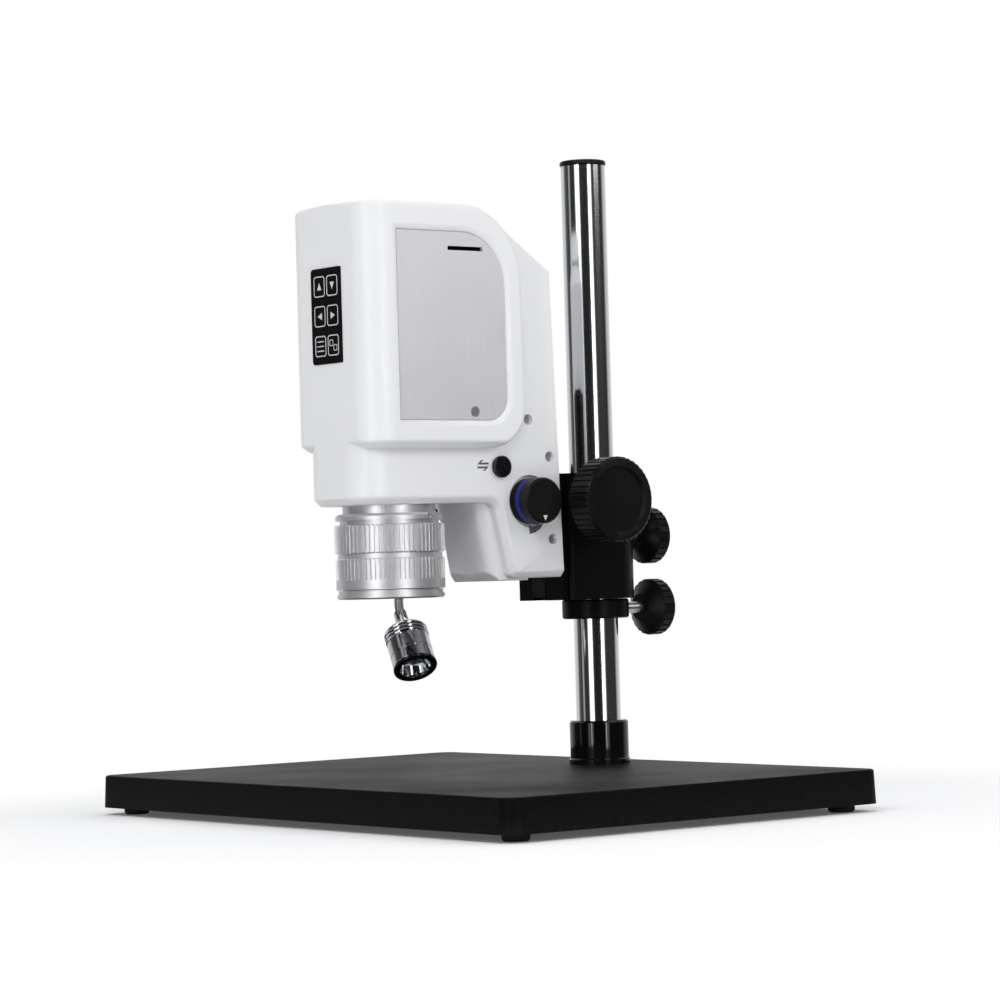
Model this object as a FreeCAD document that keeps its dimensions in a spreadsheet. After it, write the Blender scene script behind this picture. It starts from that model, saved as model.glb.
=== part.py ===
import FreeCAD, Part
import math
import os
import Sketcher
from FreeCAD import Placement, Rotation, Vector

# Digital microscope head on a column stand. Millimetres, +Z up, +X to the user's right, +Y to the
# rear. The origin is the point where the optical axis meets the top of the base plate.

# Driving dimensions
DIMENSIONS = {
    # Base plate and feet
    "base_wide": 453.0,
    "base_deep": 295.0,
    "base_tall": 21.5,
    "base_corner": 11.0,
    "base_edge": 1.6,
    "base_flare": 2.6,
    "base_wall": 9.0,
    "base_roof": 8.0,
    "base_rib": 7.0,
    "boss_radius": 26.0,
    "foot_radius": 8.5,
    "foot_tall": 5.0,
    "foot_inset": 18.0,
    "foot_pad": 14.0,
    # Column
    "throat": 169.0,
    "column_behind": 41.5,
    "column_radius": 15.0,
    "column_wall": 2.5,
    "column_top": 402.0,
    "cap_over": 0.5,
    "cap_tall": 3.0,
    "cap_spigot": 10.0,
    "collar_radius": 19.7,
    "collar_tall": 29.0,
    "collar_flange": 3.0,
    "plug_tall": 24.0,
    "column_bolt": 5.0,
    # Safety ring and clamp screws
    "ring_gap": 68.2,
    "ring_radius": 22.4,
    "ring_tall": 12.8,
    "stud_radius": 4.0,
    "knob_radius": 19.0,
    "knob_rim": 11.4,
    "knob_hub_radius": 9.0,
    "knob_hub": 5.5,
    "ring_knob_reach": 56.0,
    "clamp_knob_reach": 53.3,
    "clamp_rise": 41.8,
    # Focus body
    "body_tall": 83.6,
    "body_radius": 26.2,
    "body_ahead": 41.0,
    "sleeve_wall": 2.0,
    "guide_wide": 44.0,
    "guide_deep": 7.0,
    "groove_neck": 14.0,
    "groove_wide": 21.0,
    "groove_lip": 3.0,
    "groove_deep": 9.0,
    "pinion_ahead": 32.0,
    "pinion_rise": 64.8,
    "pinion_pitch": 6.0,
    "pinion_teeth": 12.0,
    "pinion_wide": 12.0,
    "shaft_radius": 4.0,
    "bush_radius": 7.0,
    "bush_flange": 2.0,
    "focus_radius": 28.0,
    "focus_inner": 49.0,
    "focus_outer": 68.0,
    "focus_dish": 20.5,
    "focus_dish_deep": 2.2,
    "focus_hub": 12.5,
    # Slide on the head
    "slide_wide": 40.0,
    "slide_thick": 12.0,
    "slide_long": 120.0,
    "slide_low": 20.0,
    "tongue_long": 140.0,
    "rack_wide": 9.0,
    # Head housing
    "head_front": 44.0,
    "head_half": 34.5,
    "head_corner": 21.0,
    "head_top": 366.0,
    "head_low": 174.7,
    "head_edge": 2.2,
    "head_bevel": 4.2,
    "roof_end": 53.0,
    "back_top": 325.6,
    "back_high": 110.2,
    "back_low": 116.0,
    "leg_low": 125.7,
    "leg_front_high": 63.3,
    "leg_front_low": 73.0,
    "leg_corner": 6.0,
    "leg_fillet": 8.0,
    "roof_corner": 6.0,
    "wedge_corner": 3.0,
    "shell_wall": 2.8,
    "spine_half": 25.0,
    "spine_ahead": 9.5,
    "spine_low": 124.2,
    "spine_corner": 8.0,
    "spine_toe": 10.0,
    "pod_half": 46.0,
    "pod_corner": 19.0,
    "pod_low": 209.8,
    "pod_back_high": 77.6,
    "pod_back_low": 79.9,
    "pod_arc_high": 47.0,
    "pod_arc_low": 27.0,
    "pod_bevel": 4.2,
    "pod_bevel_wide": 5.5,
    "panel_front": -20.5,
    "panel_back": 64.8,
    "panel_low": 227.5,
    "panel_high": 347.8,
    "panel_arc": 34.0,
    "panel_arc_low": 15.0,
    "panel_thick": 1.5,
    "panel_sunk": 2.0,
    "panel_bevel": 1.4,
    "card_front": 20.0,
    "card_back": 48.0,
    "card_drop": 10.6,
    "card_board": 34.0,
    "sensor_room": 21.0,
    "card_gap": 2.7,
    "panel_screw_out": 38.6,
    "panel_screw_up": 232.9,
    "screw_hole": 3.5,
    "screw_head": 2.9,
    "screw_shank": 1.5,
    "screw_boss": 5.3,
    # Keypad
    "pad_wide": 32.6,
    "pad_tall": 61.0,
    "pad_centre": 295.6,
    "pad_thick": 1.4,
    "pad_proud": 0.7,
    "pad_corner": 2.5,
    "key_wide": 12.3,
    "key_tall": 13.6,
    "key_corner": 2.0,
    "key_pitch_wide": 14.0,
    "key_pitch_tall": 19.0,
    "key_gap": 0.25,
    "key_stem": 3.0,
    "key_travel": 0.4,
    # Side controls
    "dial_out": 88.3,
    "dial_up": 175.5,
    "dial_radius": 14.9,
    "dial_face": 50.3,
    "dial_band_low": 38.4,
    "dial_band_high": 41.8,
    "dial_well": 17.0,
    "dial_well_deep": 3.0,
    "dial_shaft": 3.0,
    "latch_out": 64.9,
    "latch_up": 197.9,
    "latch_radius": 7.1,
    "latch_proud": 3.0,
    "latch_pin": 2.5,
    "latch_slot": 1.6,
    # Lens barrel
    "neck_radius": 29.8,
    "flange_high": 169.4,
    "flange_low": 165.4,
    "flange_radius": 34.6,
    "step_radius": 31.8,
    "ring_high": 162.8,
    "core_radius": 31.0,
    "core_bore": 26.0,
    "knurl_radius": 35.4,
    "knurl_deep": 0.8,
    "knurl_count": 72.0,
    "upper_low": 144.3,
    "lower_high": 141.0,
    "lower_low": 127.4,
    "lower_radius": 35.0,
    "nose_high": 120.6,
    "nose_low": 115.0,
    "nose_bore": 24.0,
    "cell_low": 121.0,
    "cell_tall": 16.0,
    "tube_radius": 24.0,
    "tube_wall": 2.0,
    "tube_top": 285.0,
    "deck_high": 186.0,
    "deck_thick": 4.0,
    "deck_half": 28.0,
    "deck_ahead": 28.0,
    "post_thick": 6.0,
    "post_tall": 39.0,
    "post_low": 159.5,
    "slide_screw": 1.9,
    "slide_bite": 6.0,
    # Lamp on its gooseneck
    "neck_root_out": -26.0,
    "neck_root_back": 34.0,
    "neck_tube": 3.3,
    "neck_bore": 1.6,
    "neck_ribs": 34.0,
    "neck_groove": 0.45,
    "socket_radius": 6.5,
    "socket_tall": 7.0,
    "socket_thread": 4.0,
    "lamp_radius": 14.6,
    "lamp_long": 32.0,
    "lamp_face_out": -24.0,
    "lamp_face_back": 35.5,
    "lamp_face_up": 68.6,
    "lamp_turn": 16.6,
    "lamp_tilt": 37.7,
    "ferrule_radius": 5.8,
    "ferrule_long": 6.0,
    "lamp_window": 10.3,
    # Clearances
    "slip": 0.05,
    "gap": 0.3,
}

doc = FreeCAD.newDocument("microscope")
sheet = doc.addObject("Spreadsheet::Sheet", "sizes")
for line, (alias, number) in enumerate(DIMENSIONS.items(), start=1):
    sheet.set(f"A{line}", alias)
    sheet.set(f"B{line}", str(number))
    sheet.setAlias(f"B{line}", alias)
doc.recompute()


class Size:
    """A length that knows its number and the sheet expression that gives it."""

    def __init__(self, number, text):
        self.number = float(number)
        self.text = text

    def __float__(self):
        return self.number

    def __add__(self, other):
        return Size(self.number + float(other), f"({self.text} + {text_of(other)})")

    def __radd__(self, other):
        return Size(float(other) + self.number, f"({text_of(other)} + {self.text})")

    def __sub__(self, other):
        return Size(self.number - float(other), f"({self.text} - {text_of(other)})")

    def __rsub__(self, other):
        return Size(float(other) - self.number, f"({text_of(other)} - {self.text})")

    def __mul__(self, other):
        return Size(self.number * float(other), f"({self.text} * {text_of(other)})")

    def __rmul__(self, other):
        return Size(float(other) * self.number, f"({text_of(other)} * {self.text})")

    def __truediv__(self, other):
        return Size(self.number / float(other), f"({self.text} / {text_of(other)})")

    def __neg__(self):
        return Size(-self.number, f"(0 - {self.text})")


def card_height():
    """Height of the card slot, hung from the panel's top."""
    return size("panel_high") - size("card_drop")


def text_of(value):
    """The expression text of a Size or of a plain number."""
    if isinstance(value, Size):
        return value.text
    return f"{float(value):.6f}"


def size(alias):
    """A cell of the sheet as a Size."""
    return Size(DIMENSIONS[alias], f"sizes.{alias}")


def bind(thing, **properties):
    """Bind properties of a document object to sheet expressions."""
    for name, value in properties.items():
        setattr(thing, name, float(value))
        if isinstance(value, Size):
            thing.setExpression(name, value.text)
    return thing


def seat(thing, x=0.0, y=0.0, z=0.0, turn=None):
    """Place an object at a bound point, turned by an optional rotation."""
    thing.Placement = Placement(Vector(float(x), float(y), float(z)), turn or Rotation())
    for axis, value in zip("xyz", (x, y, z)):
        if isinstance(value, Size):
            thing.setExpression(f"Placement.Base.{axis}", value.text)
    return thing


ALONG_X = Rotation(Vector(0, 1, 0), 90)
ALONG_MINUS_X = Rotation(Vector(0, 1, 0), -90)
ALONG_Y = Rotation(Vector(1, 0, 0), -90)
# Sketch x along +Y, sketch y along +Z, thickness along +X
SIDEWAYS = Rotation(Vector(1, 1, 1), 120)
# Sketch x along +X, sketch y along +Z, thickness along -Y
FACING = Rotation(Vector(1, 0, 0), 90)


def cylinder(name, radius, tall, x=0.0, y=0.0, z=0.0, turn=None):
    """A plain round bar from a bound point."""
    bar = doc.addObject("Part::Cylinder", name)
    bind(bar, Radius=radius, Height=tall)
    return seat(bar, x, y, z, turn)


def box(name, wide, deep, tall, x=0.0, y=0.0, z=0.0, turn=None):
    """A plain box from its low corner."""
    block = doc.addObject("Part::Box", name)
    bind(block, Length=wide, Width=deep, Height=tall)
    return seat(block, x, y, z, turn)


def cut(name, base, *tools):
    """One object with the others taken out of it."""
    tool = tools[0] if len(tools) == 1 else fuse(f"{name}_tools", *tools)
    result = doc.addObject("Part::Cut", name)
    result.Base = base
    result.Tool = tool
    return result


def fuse(name, *pieces):
    """Several objects joined into one."""
    result = doc.addObject("Part::MultiFuse", name)
    result.Shapes = list(pieces)
    result.Refine = True
    return result


def common(name, first, second):
    """What two objects share."""
    result = doc.addObject("Part::Common", name)
    result.Base = first
    result.Tool = second
    return result


def origin_plane(body, role):
    """A body's own origin plane by its role."""
    return next(item for item in body.Origin.OriginFeatures if item.Role == role)


def outline_sketch(body, role, points):
    """A closed polygon of bound points on one of the body's planes."""
    sketch = body.newObject("Sketcher::SketchObject", f"{body.Name}_outline")
    sketch.AttachmentSupport = (origin_plane(body, role), "")
    sketch.MapMode = "FlatFace"
    places = [Vector(float(x), float(y), 0) for x, y in points]
    for start, end in zip(places, places[1:] + places[:1]):
        sketch.addGeometry(Part.LineSegment(start, end), False)
    count = len(points)
    for index in range(count):
        following = (index + 1) % count
        sketch.addConstraint(Sketcher.Constraint("Coincident", index, 2, following, 1))
    for index, (x, y) in enumerate(points):
        for kind, value, axis in (("DistanceX", x, -2), ("DistanceY", y, -1)):
            if float(value) == 0.0:
                sketch.addConstraint(Sketcher.Constraint("PointOnObject", index, 1, axis))
                continue
            key = sketch.addConstraint(
                Sketcher.Constraint(kind, -1, 1, index, 1, float(value)))
            if isinstance(value, Size):
                sketch.setExpression(f"Constraints[{key}]", value.text)
    return sketch


def turned(name, profile, x=0.0, y=0.0, z=0.0, turn=None):
    """A lathe piece: radius and height pairs turned about the body's Z axis."""
    body = doc.addObject("PartDesign::Body", name)
    sketch = outline_sketch(body, "XZ_Plane", profile)
    spin = body.newObject("PartDesign::Revolution", f"{name}_spin")
    spin.Profile = sketch
    spin.ReferenceAxis = (sketch, ["V_Axis"])
    spin.Angle = 360.0
    return seat(body, x, y, z, turn)


def prism(name, outline, thick, x=0.0, y=0.0, z=0.0, turn=None):
    """A flat outline of bound points, given a thickness."""
    body = doc.addObject("PartDesign::Body", name)
    sketch = outline_sketch(body, "XY_Plane", outline)
    pad = body.newObject("PartDesign::Pad", f"{name}_pad")
    pad.Profile = sketch
    bind(pad, Length=thick)
    return seat(body, x, y, z, turn)


def dress(body, kind, measure, test):
    """Round or bevel the edges of a body's last feature that pass a test."""
    doc.recompute()
    last = body.Tip
    edges = [f"Edge{index}" for index, edge in enumerate(last.Shape.Edges, start=1)
             if test(edge)]
    if not edges:
        raise RuntimeError(f"{body.Name}: no edge to dress")
    step = body.newObject(f"PartDesign::{kind}", f"{body.Name}_{kind.lower()}")
    step.Base = (last, edges)
    bind(step, **{"Radius" if kind == "Fillet" else "Size": measure})
    body.Tip = step
    return step


def upright_at(*corners):
    """Edges along the thickness that stand on one of these outline corners."""
    places = [(float(x), float(y)) for x, y in corners]

    def test(edge):
        start, end = edge.Vertexes[0].Point, edge.Vertexes[-1].Point
        if abs(start.x - end.x) > 1e-4 or abs(start.y - end.y) > 1e-4:
            return False
        return any(math.hypot(start.x - x, start.y - y) < 1e-3 for x, y in places)
    return test


def level_at(height, keep=lambda box: True):
    """Edges that lie flat at one height, where keep agrees with their box."""
    def test(edge):
        span = edge.BoundBox
        flat = abs(span.ZMin - float(height)) < 1e-4 and abs(span.ZMax - float(height)) < 1e-4
        return flat and keep(span)
    return test


def fluted(name, radius, deep, count, tall, x=0.0, y=0.0, z=0.0, turn=None):
    """A straight-knurled bar: trapezoid flutes round a bound height."""
    body = doc.addObject("PartDesign::Body", name)
    sketch = body.newObject("Sketcher::SketchObject", f"{name}_outline")
    sketch.AttachmentSupport = (origin_plane(body, "XY_Plane"), "")
    sketch.MapMode = "FlatFace"
    teeth = int(float(count))
    pitch = 2 * math.pi / teeth
    places = []
    for tooth in range(teeth):
        for share, level in ((0.0, 0.0), (0.55, 0.0), (0.68, 1.0), (0.87, 1.0)):
            angle = (tooth + share) * pitch
            reach = float(radius) - level * float(deep)
            places.append(Vector(reach * math.cos(angle), reach * math.sin(angle), 0))
    for start, end in zip(places, places[1:] + places[:1]):
        sketch.addGeometry(Part.LineSegment(start, end), False)
    pad = body.newObject("PartDesign::Pad", f"{name}_pad")
    pad.Profile = sketch
    bind(pad, Length=tall)
    return seat(body, x, y, z, turn)


NODES = {}


def node(name, thing):
    """Hand in an object as the sub-part of this name."""
    thing.Label = name
    NODES[name] = thing
    return thing


# Shared places
column_y = size("throat")
base_back = size("throat") + size("column_behind")
base_front = base_back - size("base_deep")
slip = size("slip")
gap = size("gap")
ring_low = size("collar_tall") + size("ring_gap")
ring_top = ring_low + size("ring_tall")
body_low = ring_top + gap
body_top = body_low + size("body_tall")
guide_front = column_y - size("body_ahead") - size("guide_deep")
pinion_y = column_y - size("pinion_ahead")
pinion_z = body_low + size("pinion_rise")
sleeve_radius = size("column_radius") + slip + size("sleeve_wall")


def base_plate():
    """Cast plate, hollow below, with flared sides, ribs, a column boss and foot pads."""
    wide, deep, tall = size("base_wide"), size("base_deep"), size("base_tall")
    half = wide / 2
    flare = size("base_flare")
    outline = [(-half, base_front), (half, base_front), (half, base_back), (-half, base_back)]
    plate = prism("plate_block", outline, tall, z=-tall)
    dress(plate, "Fillet", size("base_corner"), upright_at(*outline))
    doc.recompute()
    previous = plate.Tip
    faces = list(enumerate(previous.Shape.Faces, start=1))
    sides = [f"Face{index}" for index, face in faces if abs(face.normalAt(0, 0).z) < 1e-6]
    top = next(f"Face{index}" for index, face in faces if face.normalAt(0, 0).z > 0.99)
    draft = plate.newObject("PartDesign::Draft", "plate_draft")
    draft.Base = (previous, sides)
    draft.NeutralPlane = (previous, [top])
    bind(draft, Angle=flare)
    draft.Reversed = False
    plate.Tip = draft
    dress(plate, "Fillet", size("base_edge"), level_at(tall))
    wall, roof, rib = size("base_wall"), size("base_roof"), size("base_rib")
    hollow = box("plate_hollow", wide - 2 * wall, deep - 2 * wall, tall - roof,
                 -half + wall, base_front + wall, -tall)
    rib_long = box("plate_rib_long", rib, deep - wall, tall - roof,
                   -rib / 2, base_front + wall / 2, -tall)
    rib_left = box("plate_rib_left", rib, deep - wall, tall - roof,
                   -wide / 4 - rib / 2, base_front + wall / 2, -tall)
    rib_right = box("plate_rib_right", rib, deep - wall, tall - roof,
                    wide / 4 - rib / 2, base_front + wall / 2, -tall)
    rib_cross = box("plate_rib_cross", wide - wall, rib, tall - roof,
                    -half + wall / 2, column_y - rib / 2, -tall)
    rib_front = box("plate_rib_front", wide - wall, rib, tall - roof,
                    -half + wall / 2, -rib / 2, -tall)
    boss = cylinder("plate_boss", size("boss_radius"), tall - roof, y=column_y, z=-tall)
    pads = [cylinder(f"plate_pad_{index}", size("foot_pad"), tall - roof, x, y, -tall)
            for index, (x, y) in enumerate(foot_places(), start=1)]
    hollow_left = cut("plate_pocket", hollow, rib_long, rib_left, rib_right, rib_cross,
                      rib_front, boss, *pads)
    bolt = size("column_bolt") + gap
    bolt_hole = cylinder("plate_bolt_hole", bolt, tall, y=column_y, z=-tall)
    head_hole = cylinder("plate_head_hole", size("column_bolt") * 2.2, size("column_bolt") * 1.4,
                         y=column_y, z=-tall)
    screw_holes = [cylinder(f"plate_foot_hole_{index}", size("foot_radius") * 0.22,
                            size("foot_tall") * 1.8, x, y, -tall)
                   for index, (x, y) in enumerate(foot_places(), start=1)]
    node("base_plate", cut("base_plate", plate, hollow_left, bolt_hole, head_hole, *screw_holes))


def foot_places():
    """Centres of the four feet."""
    across = size("base_wide") / 2 - size("foot_inset")
    front = base_front + size("foot_inset")
    rear = base_back - size("foot_inset")
    return [(-across, front), (across, front), (across, rear), (-across, rear)]


def feet():
    """Four rubber feet, each held by a screw whose head sits in the foot."""
    radius, tall = size("foot_radius"), size("foot_tall")
    low = -size("base_tall") - tall
    profile = [(radius * 0.24, tall * 0.5), (radius * 0.55, tall * 0.5), (radius * 0.55, 0),
               (radius * 0.86, 0), (radius, tall * 0.3), (radius, tall), (radius * 0.24, tall)]
    screw = [(0, tall * 0.2), (radius * 0.5, tall * 0.2), (radius * 0.5, tall * 0.5),
             (radius * 0.22, tall * 0.5), (radius * 0.22, tall * 2.6), (0, tall * 2.6)]
    rubber, steel = [], []
    for index, (x, y) in enumerate(foot_places(), start=1):
        rubber.append(turned(f"foot_{index}", profile, x, y, low))
        steel.append(turned(f"foot_screw_{index}", screw, x, y, low))
    node("rubber_feet", fuse("rubber_feet", *rubber))
    node("foot_screws", fuse("foot_screws", *steel))


def column():
    """Chrome tube with a plug and bolt at its foot, a collar round it and a cap on top."""
    radius, wall, top = size("column_radius"), size("column_wall"), size("column_top")
    bore = radius - wall
    tube = [(bore, 0), (radius, 0), (radius, top), (bore, top)]
    node("column", turned("column", tube, y=column_y))
    over, tall = size("cap_over"), size("cap_tall")
    lid = [(0, -size("cap_spigot")), (bore - slip, -size("cap_spigot")), (bore - slip, 0),
           (radius + over, 0), (radius + over, tall * 0.7), (radius + over - tall * 0.3, tall),
           (0, tall)]
    node("column_cap", turned("column_cap", lid, y=column_y, z=top))
    bolt = size("column_bolt")
    plug = [(bolt + slip, 0), (bore - slip, 0), (bore - slip, size("plug_tall")),
            (bolt + slip, size("plug_tall"))]
    node("column_plug", turned("column_plug", plug, y=column_y))
    outer, collar_tall = size("collar_radius"), size("collar_tall")
    collar = [(radius + slip, 0), (outer + size("collar_flange") * 0.25, 0),
              (outer + size("collar_flange") * 0.25, size("collar_flange")),
              (outer, size("collar_flange") * 1.3), (outer, collar_tall - 1.2),
              (outer - 1.2, collar_tall), (radius + slip, collar_tall)]
    node("column_collar", turned("column_collar", collar, y=column_y))
    head = bolt * 1.2
    low = -size("base_tall") + bolt * 0.2
    screw = [(0, 0), (bolt * 1.8, 0), (bolt * 1.8, head), (bolt, head),
             (bolt, size("base_tall") + size("plug_tall") * 0.8), (0, size("base_tall")
              + size("plug_tall") * 0.8)]
    node("column_bolt", turned("column_bolt", screw, y=column_y, z=low))


def star_knob(name, reach, height):
    """A fluted clamp knob with a stepped hub, on an axis to the rear at a height."""
    radius, rim, hub = size("knob_radius"), size("knob_rim"), size("knob_hub")
    stud = size("stud_radius")
    long = rim + hub
    start = column_y + reach - long
    rough = fluted(f"{name}_flutes", radius, radius * 0.06, 24, long, y=start, z=height,
                   turn=ALONG_Y)
    profile = [(stud, 0), (size("knob_hub_radius"), 0), (radius * 0.86, hub),
               (radius, hub + rim * 0.14), (radius, long - rim * 0.16), (radius - rim * 0.16, long),
               (radius * 0.55, long), (radius * 0.5, long - 0.8), (0, long - 0.8), (0, long * 0.7),
               (stud, long * 0.7)]
    shape = turned(f"{name}_form", profile, y=start, z=height, turn=ALONG_Y)
    node(name, common(name, rough, shape))
    return start + long * 0.7


def clamps():
    """Safety ring under the focus body, and the two screws that clamp to the column."""
    radius, tall = size("ring_radius"), size("ring_tall")
    bore = size("column_radius") + slip
    edge = 1.0
    profile = [(bore, 0), (radius - edge, 0), (radius, edge), (radius, tall - edge),
               (radius - edge, tall), (bore, tall)]
    ring = turned("ring_form", profile, y=column_y, z=ring_low)
    stud = size("stud_radius")
    middle = ring_low + tall / 2
    hole = cylinder("ring_hole", stud + slip, radius + 2, y=column_y, z=middle, turn=ALONG_Y)
    node("safety_ring", cut("safety_ring", ring, hole))
    end = star_knob("ring_knob", size("ring_knob_reach"), middle)
    tip = column_y + size("column_radius") + gap
    node("ring_stud", cylinder("ring_stud", stud, end - tip, y=tip, z=middle, turn=ALONG_Y))
    height = body_low + size("clamp_rise")
    end = star_knob("clamp_knob", size("clamp_knob_reach"), height)
    tip = column_y + sleeve_radius + gap
    node("clamp_stud", cylinder("clamp_stud", stud, end - tip, y=tip, z=height, turn=ALONG_Y))


def focus_body():
    """Black casting round the column, with a dovetail guide in front and a pinion bore."""
    tall, radius, ahead = size("body_tall"), size("body_radius"), size("body_ahead")
    deep = size("guide_deep")
    outline = [(-radius, column_y - ahead), (radius, column_y - ahead), (radius, column_y),
               (-radius, column_y)]
    block = prism("body_block", outline, tall, z=body_low)
    dress(block, "Fillet", 3.0, upright_at(*outline[:2]))
    back = cylinder("body_back", radius, tall, y=column_y, z=body_low)
    guide_half = size("guide_wide") / 2
    guide = prism("body_guide", [(-guide_half, guide_front), (guide_half, guide_front),
                                 (guide_half, guide_front + deep + 4),
                                 (-guide_half, guide_front + deep + 4)], tall, z=body_low)
    dress(guide, "Chamfer", 1.2, upright_at((-guide_half, guide_front),
                                            (guide_half, guide_front)))
    bore = cylinder("body_bore", sleeve_radius + slip, tall, y=column_y, z=body_low)
    neck, wide = size("groove_neck") / 2, size("groove_wide") / 2
    lip = size("groove_lip")
    groove = prism("body_groove", [(-neck, guide_front - 1), (neck, guide_front - 1),
                                   (neck, guide_front + lip),
                                   (wide, guide_front + lip + (wide - neck)),
                                   (wide, guide_front + size("groove_deep")),
                                   (-wide, guide_front + size("groove_deep")),
                                   (-wide, guide_front + lip + (wide - neck)),
                                   (-neck, guide_front + lip)], tall, z=body_low)
    across = 2 * radius + 10
    tunnel = cylinder("body_tunnel", size("bush_radius"), across, -across / 2, pinion_y, pinion_z,
                      ALONG_X)
    well_radius = size("pinion_pitch") * 1.45
    well_half = size("pinion_wide") / 2 + 1
    well = cylinder("body_well", well_radius, 2 * well_half, -well_half, pinion_y, pinion_z, ALONG_X)
    mouth = box("body_mouth", 2 * well_half, pinion_y - guide_front - lip, 2 * well_radius,
                -well_half, guide_front + lip, pinion_z - well_radius)
    rack_half = size("rack_wide") / 2 + gap
    rack_slot = box("body_rack_slot", 2 * rack_half, size("groove_deep") + 3, tall, -rack_half,
                    guide_front, body_low)
    screw_high = body_low + size("clamp_rise")
    screw = cylinder("body_screw_hole", size("stud_radius") + slip, radius + 10, y=column_y,
                     z=screw_high, turn=ALONG_Y)
    boss = turned("body_boss", [(0, 0), (size("knob_hub_radius"), 0), (size("knob_hub_radius"),
                                radius + 2.5), (0, radius + 2.5)],
                  y=column_y, z=screw_high, turn=ALONG_Y)
    solid = fuse("body_solid", block, back, guide, boss)
    node("focus_body", cut("focus_body", solid, bore, groove, rack_slot, tunnel, well,
                           mouth, screw))
    sleeve = [(size("column_radius") + slip, 0), (sleeve_radius, 0), (sleeve_radius, tall),
              (size("column_radius") + slip, tall)]
    node("column_sleeve", turned("column_sleeve", sleeve, y=column_y, z=body_low))


def focus_drive():
    """Pinion shaft across the body, two bushes and the two large focus knobs."""
    radius = size("body_radius")
    shaft = size("shaft_radius")
    flange = size("bush_flange")
    well_half = size("pinion_wide") / 2 + 1
    bush = [(shaft + slip, 0), (size("bush_radius"), 0), (size("bush_radius"), radius - well_half),
            (size("bush_radius") + flange, radius - well_half),
            (size("bush_radius") + flange, radius - well_half + flange),
            (shaft + slip, radius - well_half + flange)]
    right = turned("bush_right", bush, well_half, pinion_y, pinion_z, ALONG_X)
    left = turned("bush_left", bush, -well_half, pinion_y, pinion_z, ALONG_MINUS_X)
    node("pinion_bushes", fuse("pinion_bushes", right, left))
    teeth = int(DIMENSIONS["pinion_teeth"])
    outer = float(size("pinion_pitch")) * (1 + 2 / teeth) - 0.15
    root = float(size("pinion_pitch")) * (1 - 2.5 / teeth)
    places = []
    for tooth in range(teeth):
        for share, reach in ((0.17, root), (0.38, outer), (0.62, outer), (0.83, root)):
            angle = 2 * math.pi * (tooth + share) / teeth
            places.append(Vector(reach * math.cos(angle), reach * math.sin(angle), 0))
    gear = doc.addObject("Part::Feature", "pinion_gear")
    face = Part.Face(Part.makePolygon(places + places[:1]))
    gear.Shape = face.extrude(Vector(0, 0, float(size("pinion_wide"))))
    # A gap between two teeth faces the rack when the pinion is at rest
    turn = ALONG_X.multiply(Rotation(Vector(0, 0, 1), PINION_PHASE))
    seat(gear, -size("pinion_wide") / 2, pinion_y, pinion_z, turn)
    reach = size("focus_outer") - size("focus_dish_deep") - 3
    rod = cylinder("pinion_rod", shaft, 2 * reach, -reach, pinion_y, pinion_z, ALONG_X)
    node("pinion_shaft", fuse("pinion_shaft", gear, rod))
    focus_knob("focus_knob_right", ALONG_X, 1)
    focus_knob("focus_knob_left", ALONG_MINUS_X, -1)


PINION_PHASE = 90.0


def focus_knob(name, turn, side):
    """Large dished knob with coarse flutes round its rim."""
    radius, inner, outer = size("focus_radius"), size("focus_inner"), size("focus_outer")
    dish, deep = size("focus_dish"), size("focus_dish_deep")
    hub_start = size("body_radius") + size("bush_flange") + gap
    shaft = size("shaft_radius")
    long = outer - hub_start
    rim = inner - hub_start
    rough = fluted(f"{name}_flutes", radius, radius * 0.04, 41, long, side * hub_start, pinion_y,
                   pinion_z, turn)
    profile = [(shaft, 0), (size("focus_hub"), 0), (size("focus_hub"), rim - 2),
               (radius - 5, rim), (radius - 1, rim), (radius, rim + 1), (radius, long - 1.5),
               (radius - 1.5, long), (dish + 1.2, long), (dish, long - deep), (0, long - deep),
               (0, long - deep - 3), (shaft, long - deep - 3)]
    form = turned(f"{name}_form", profile, side * hub_start, pinion_y, pinion_z, turn)
    node(name, common(name, rough, form))


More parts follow.
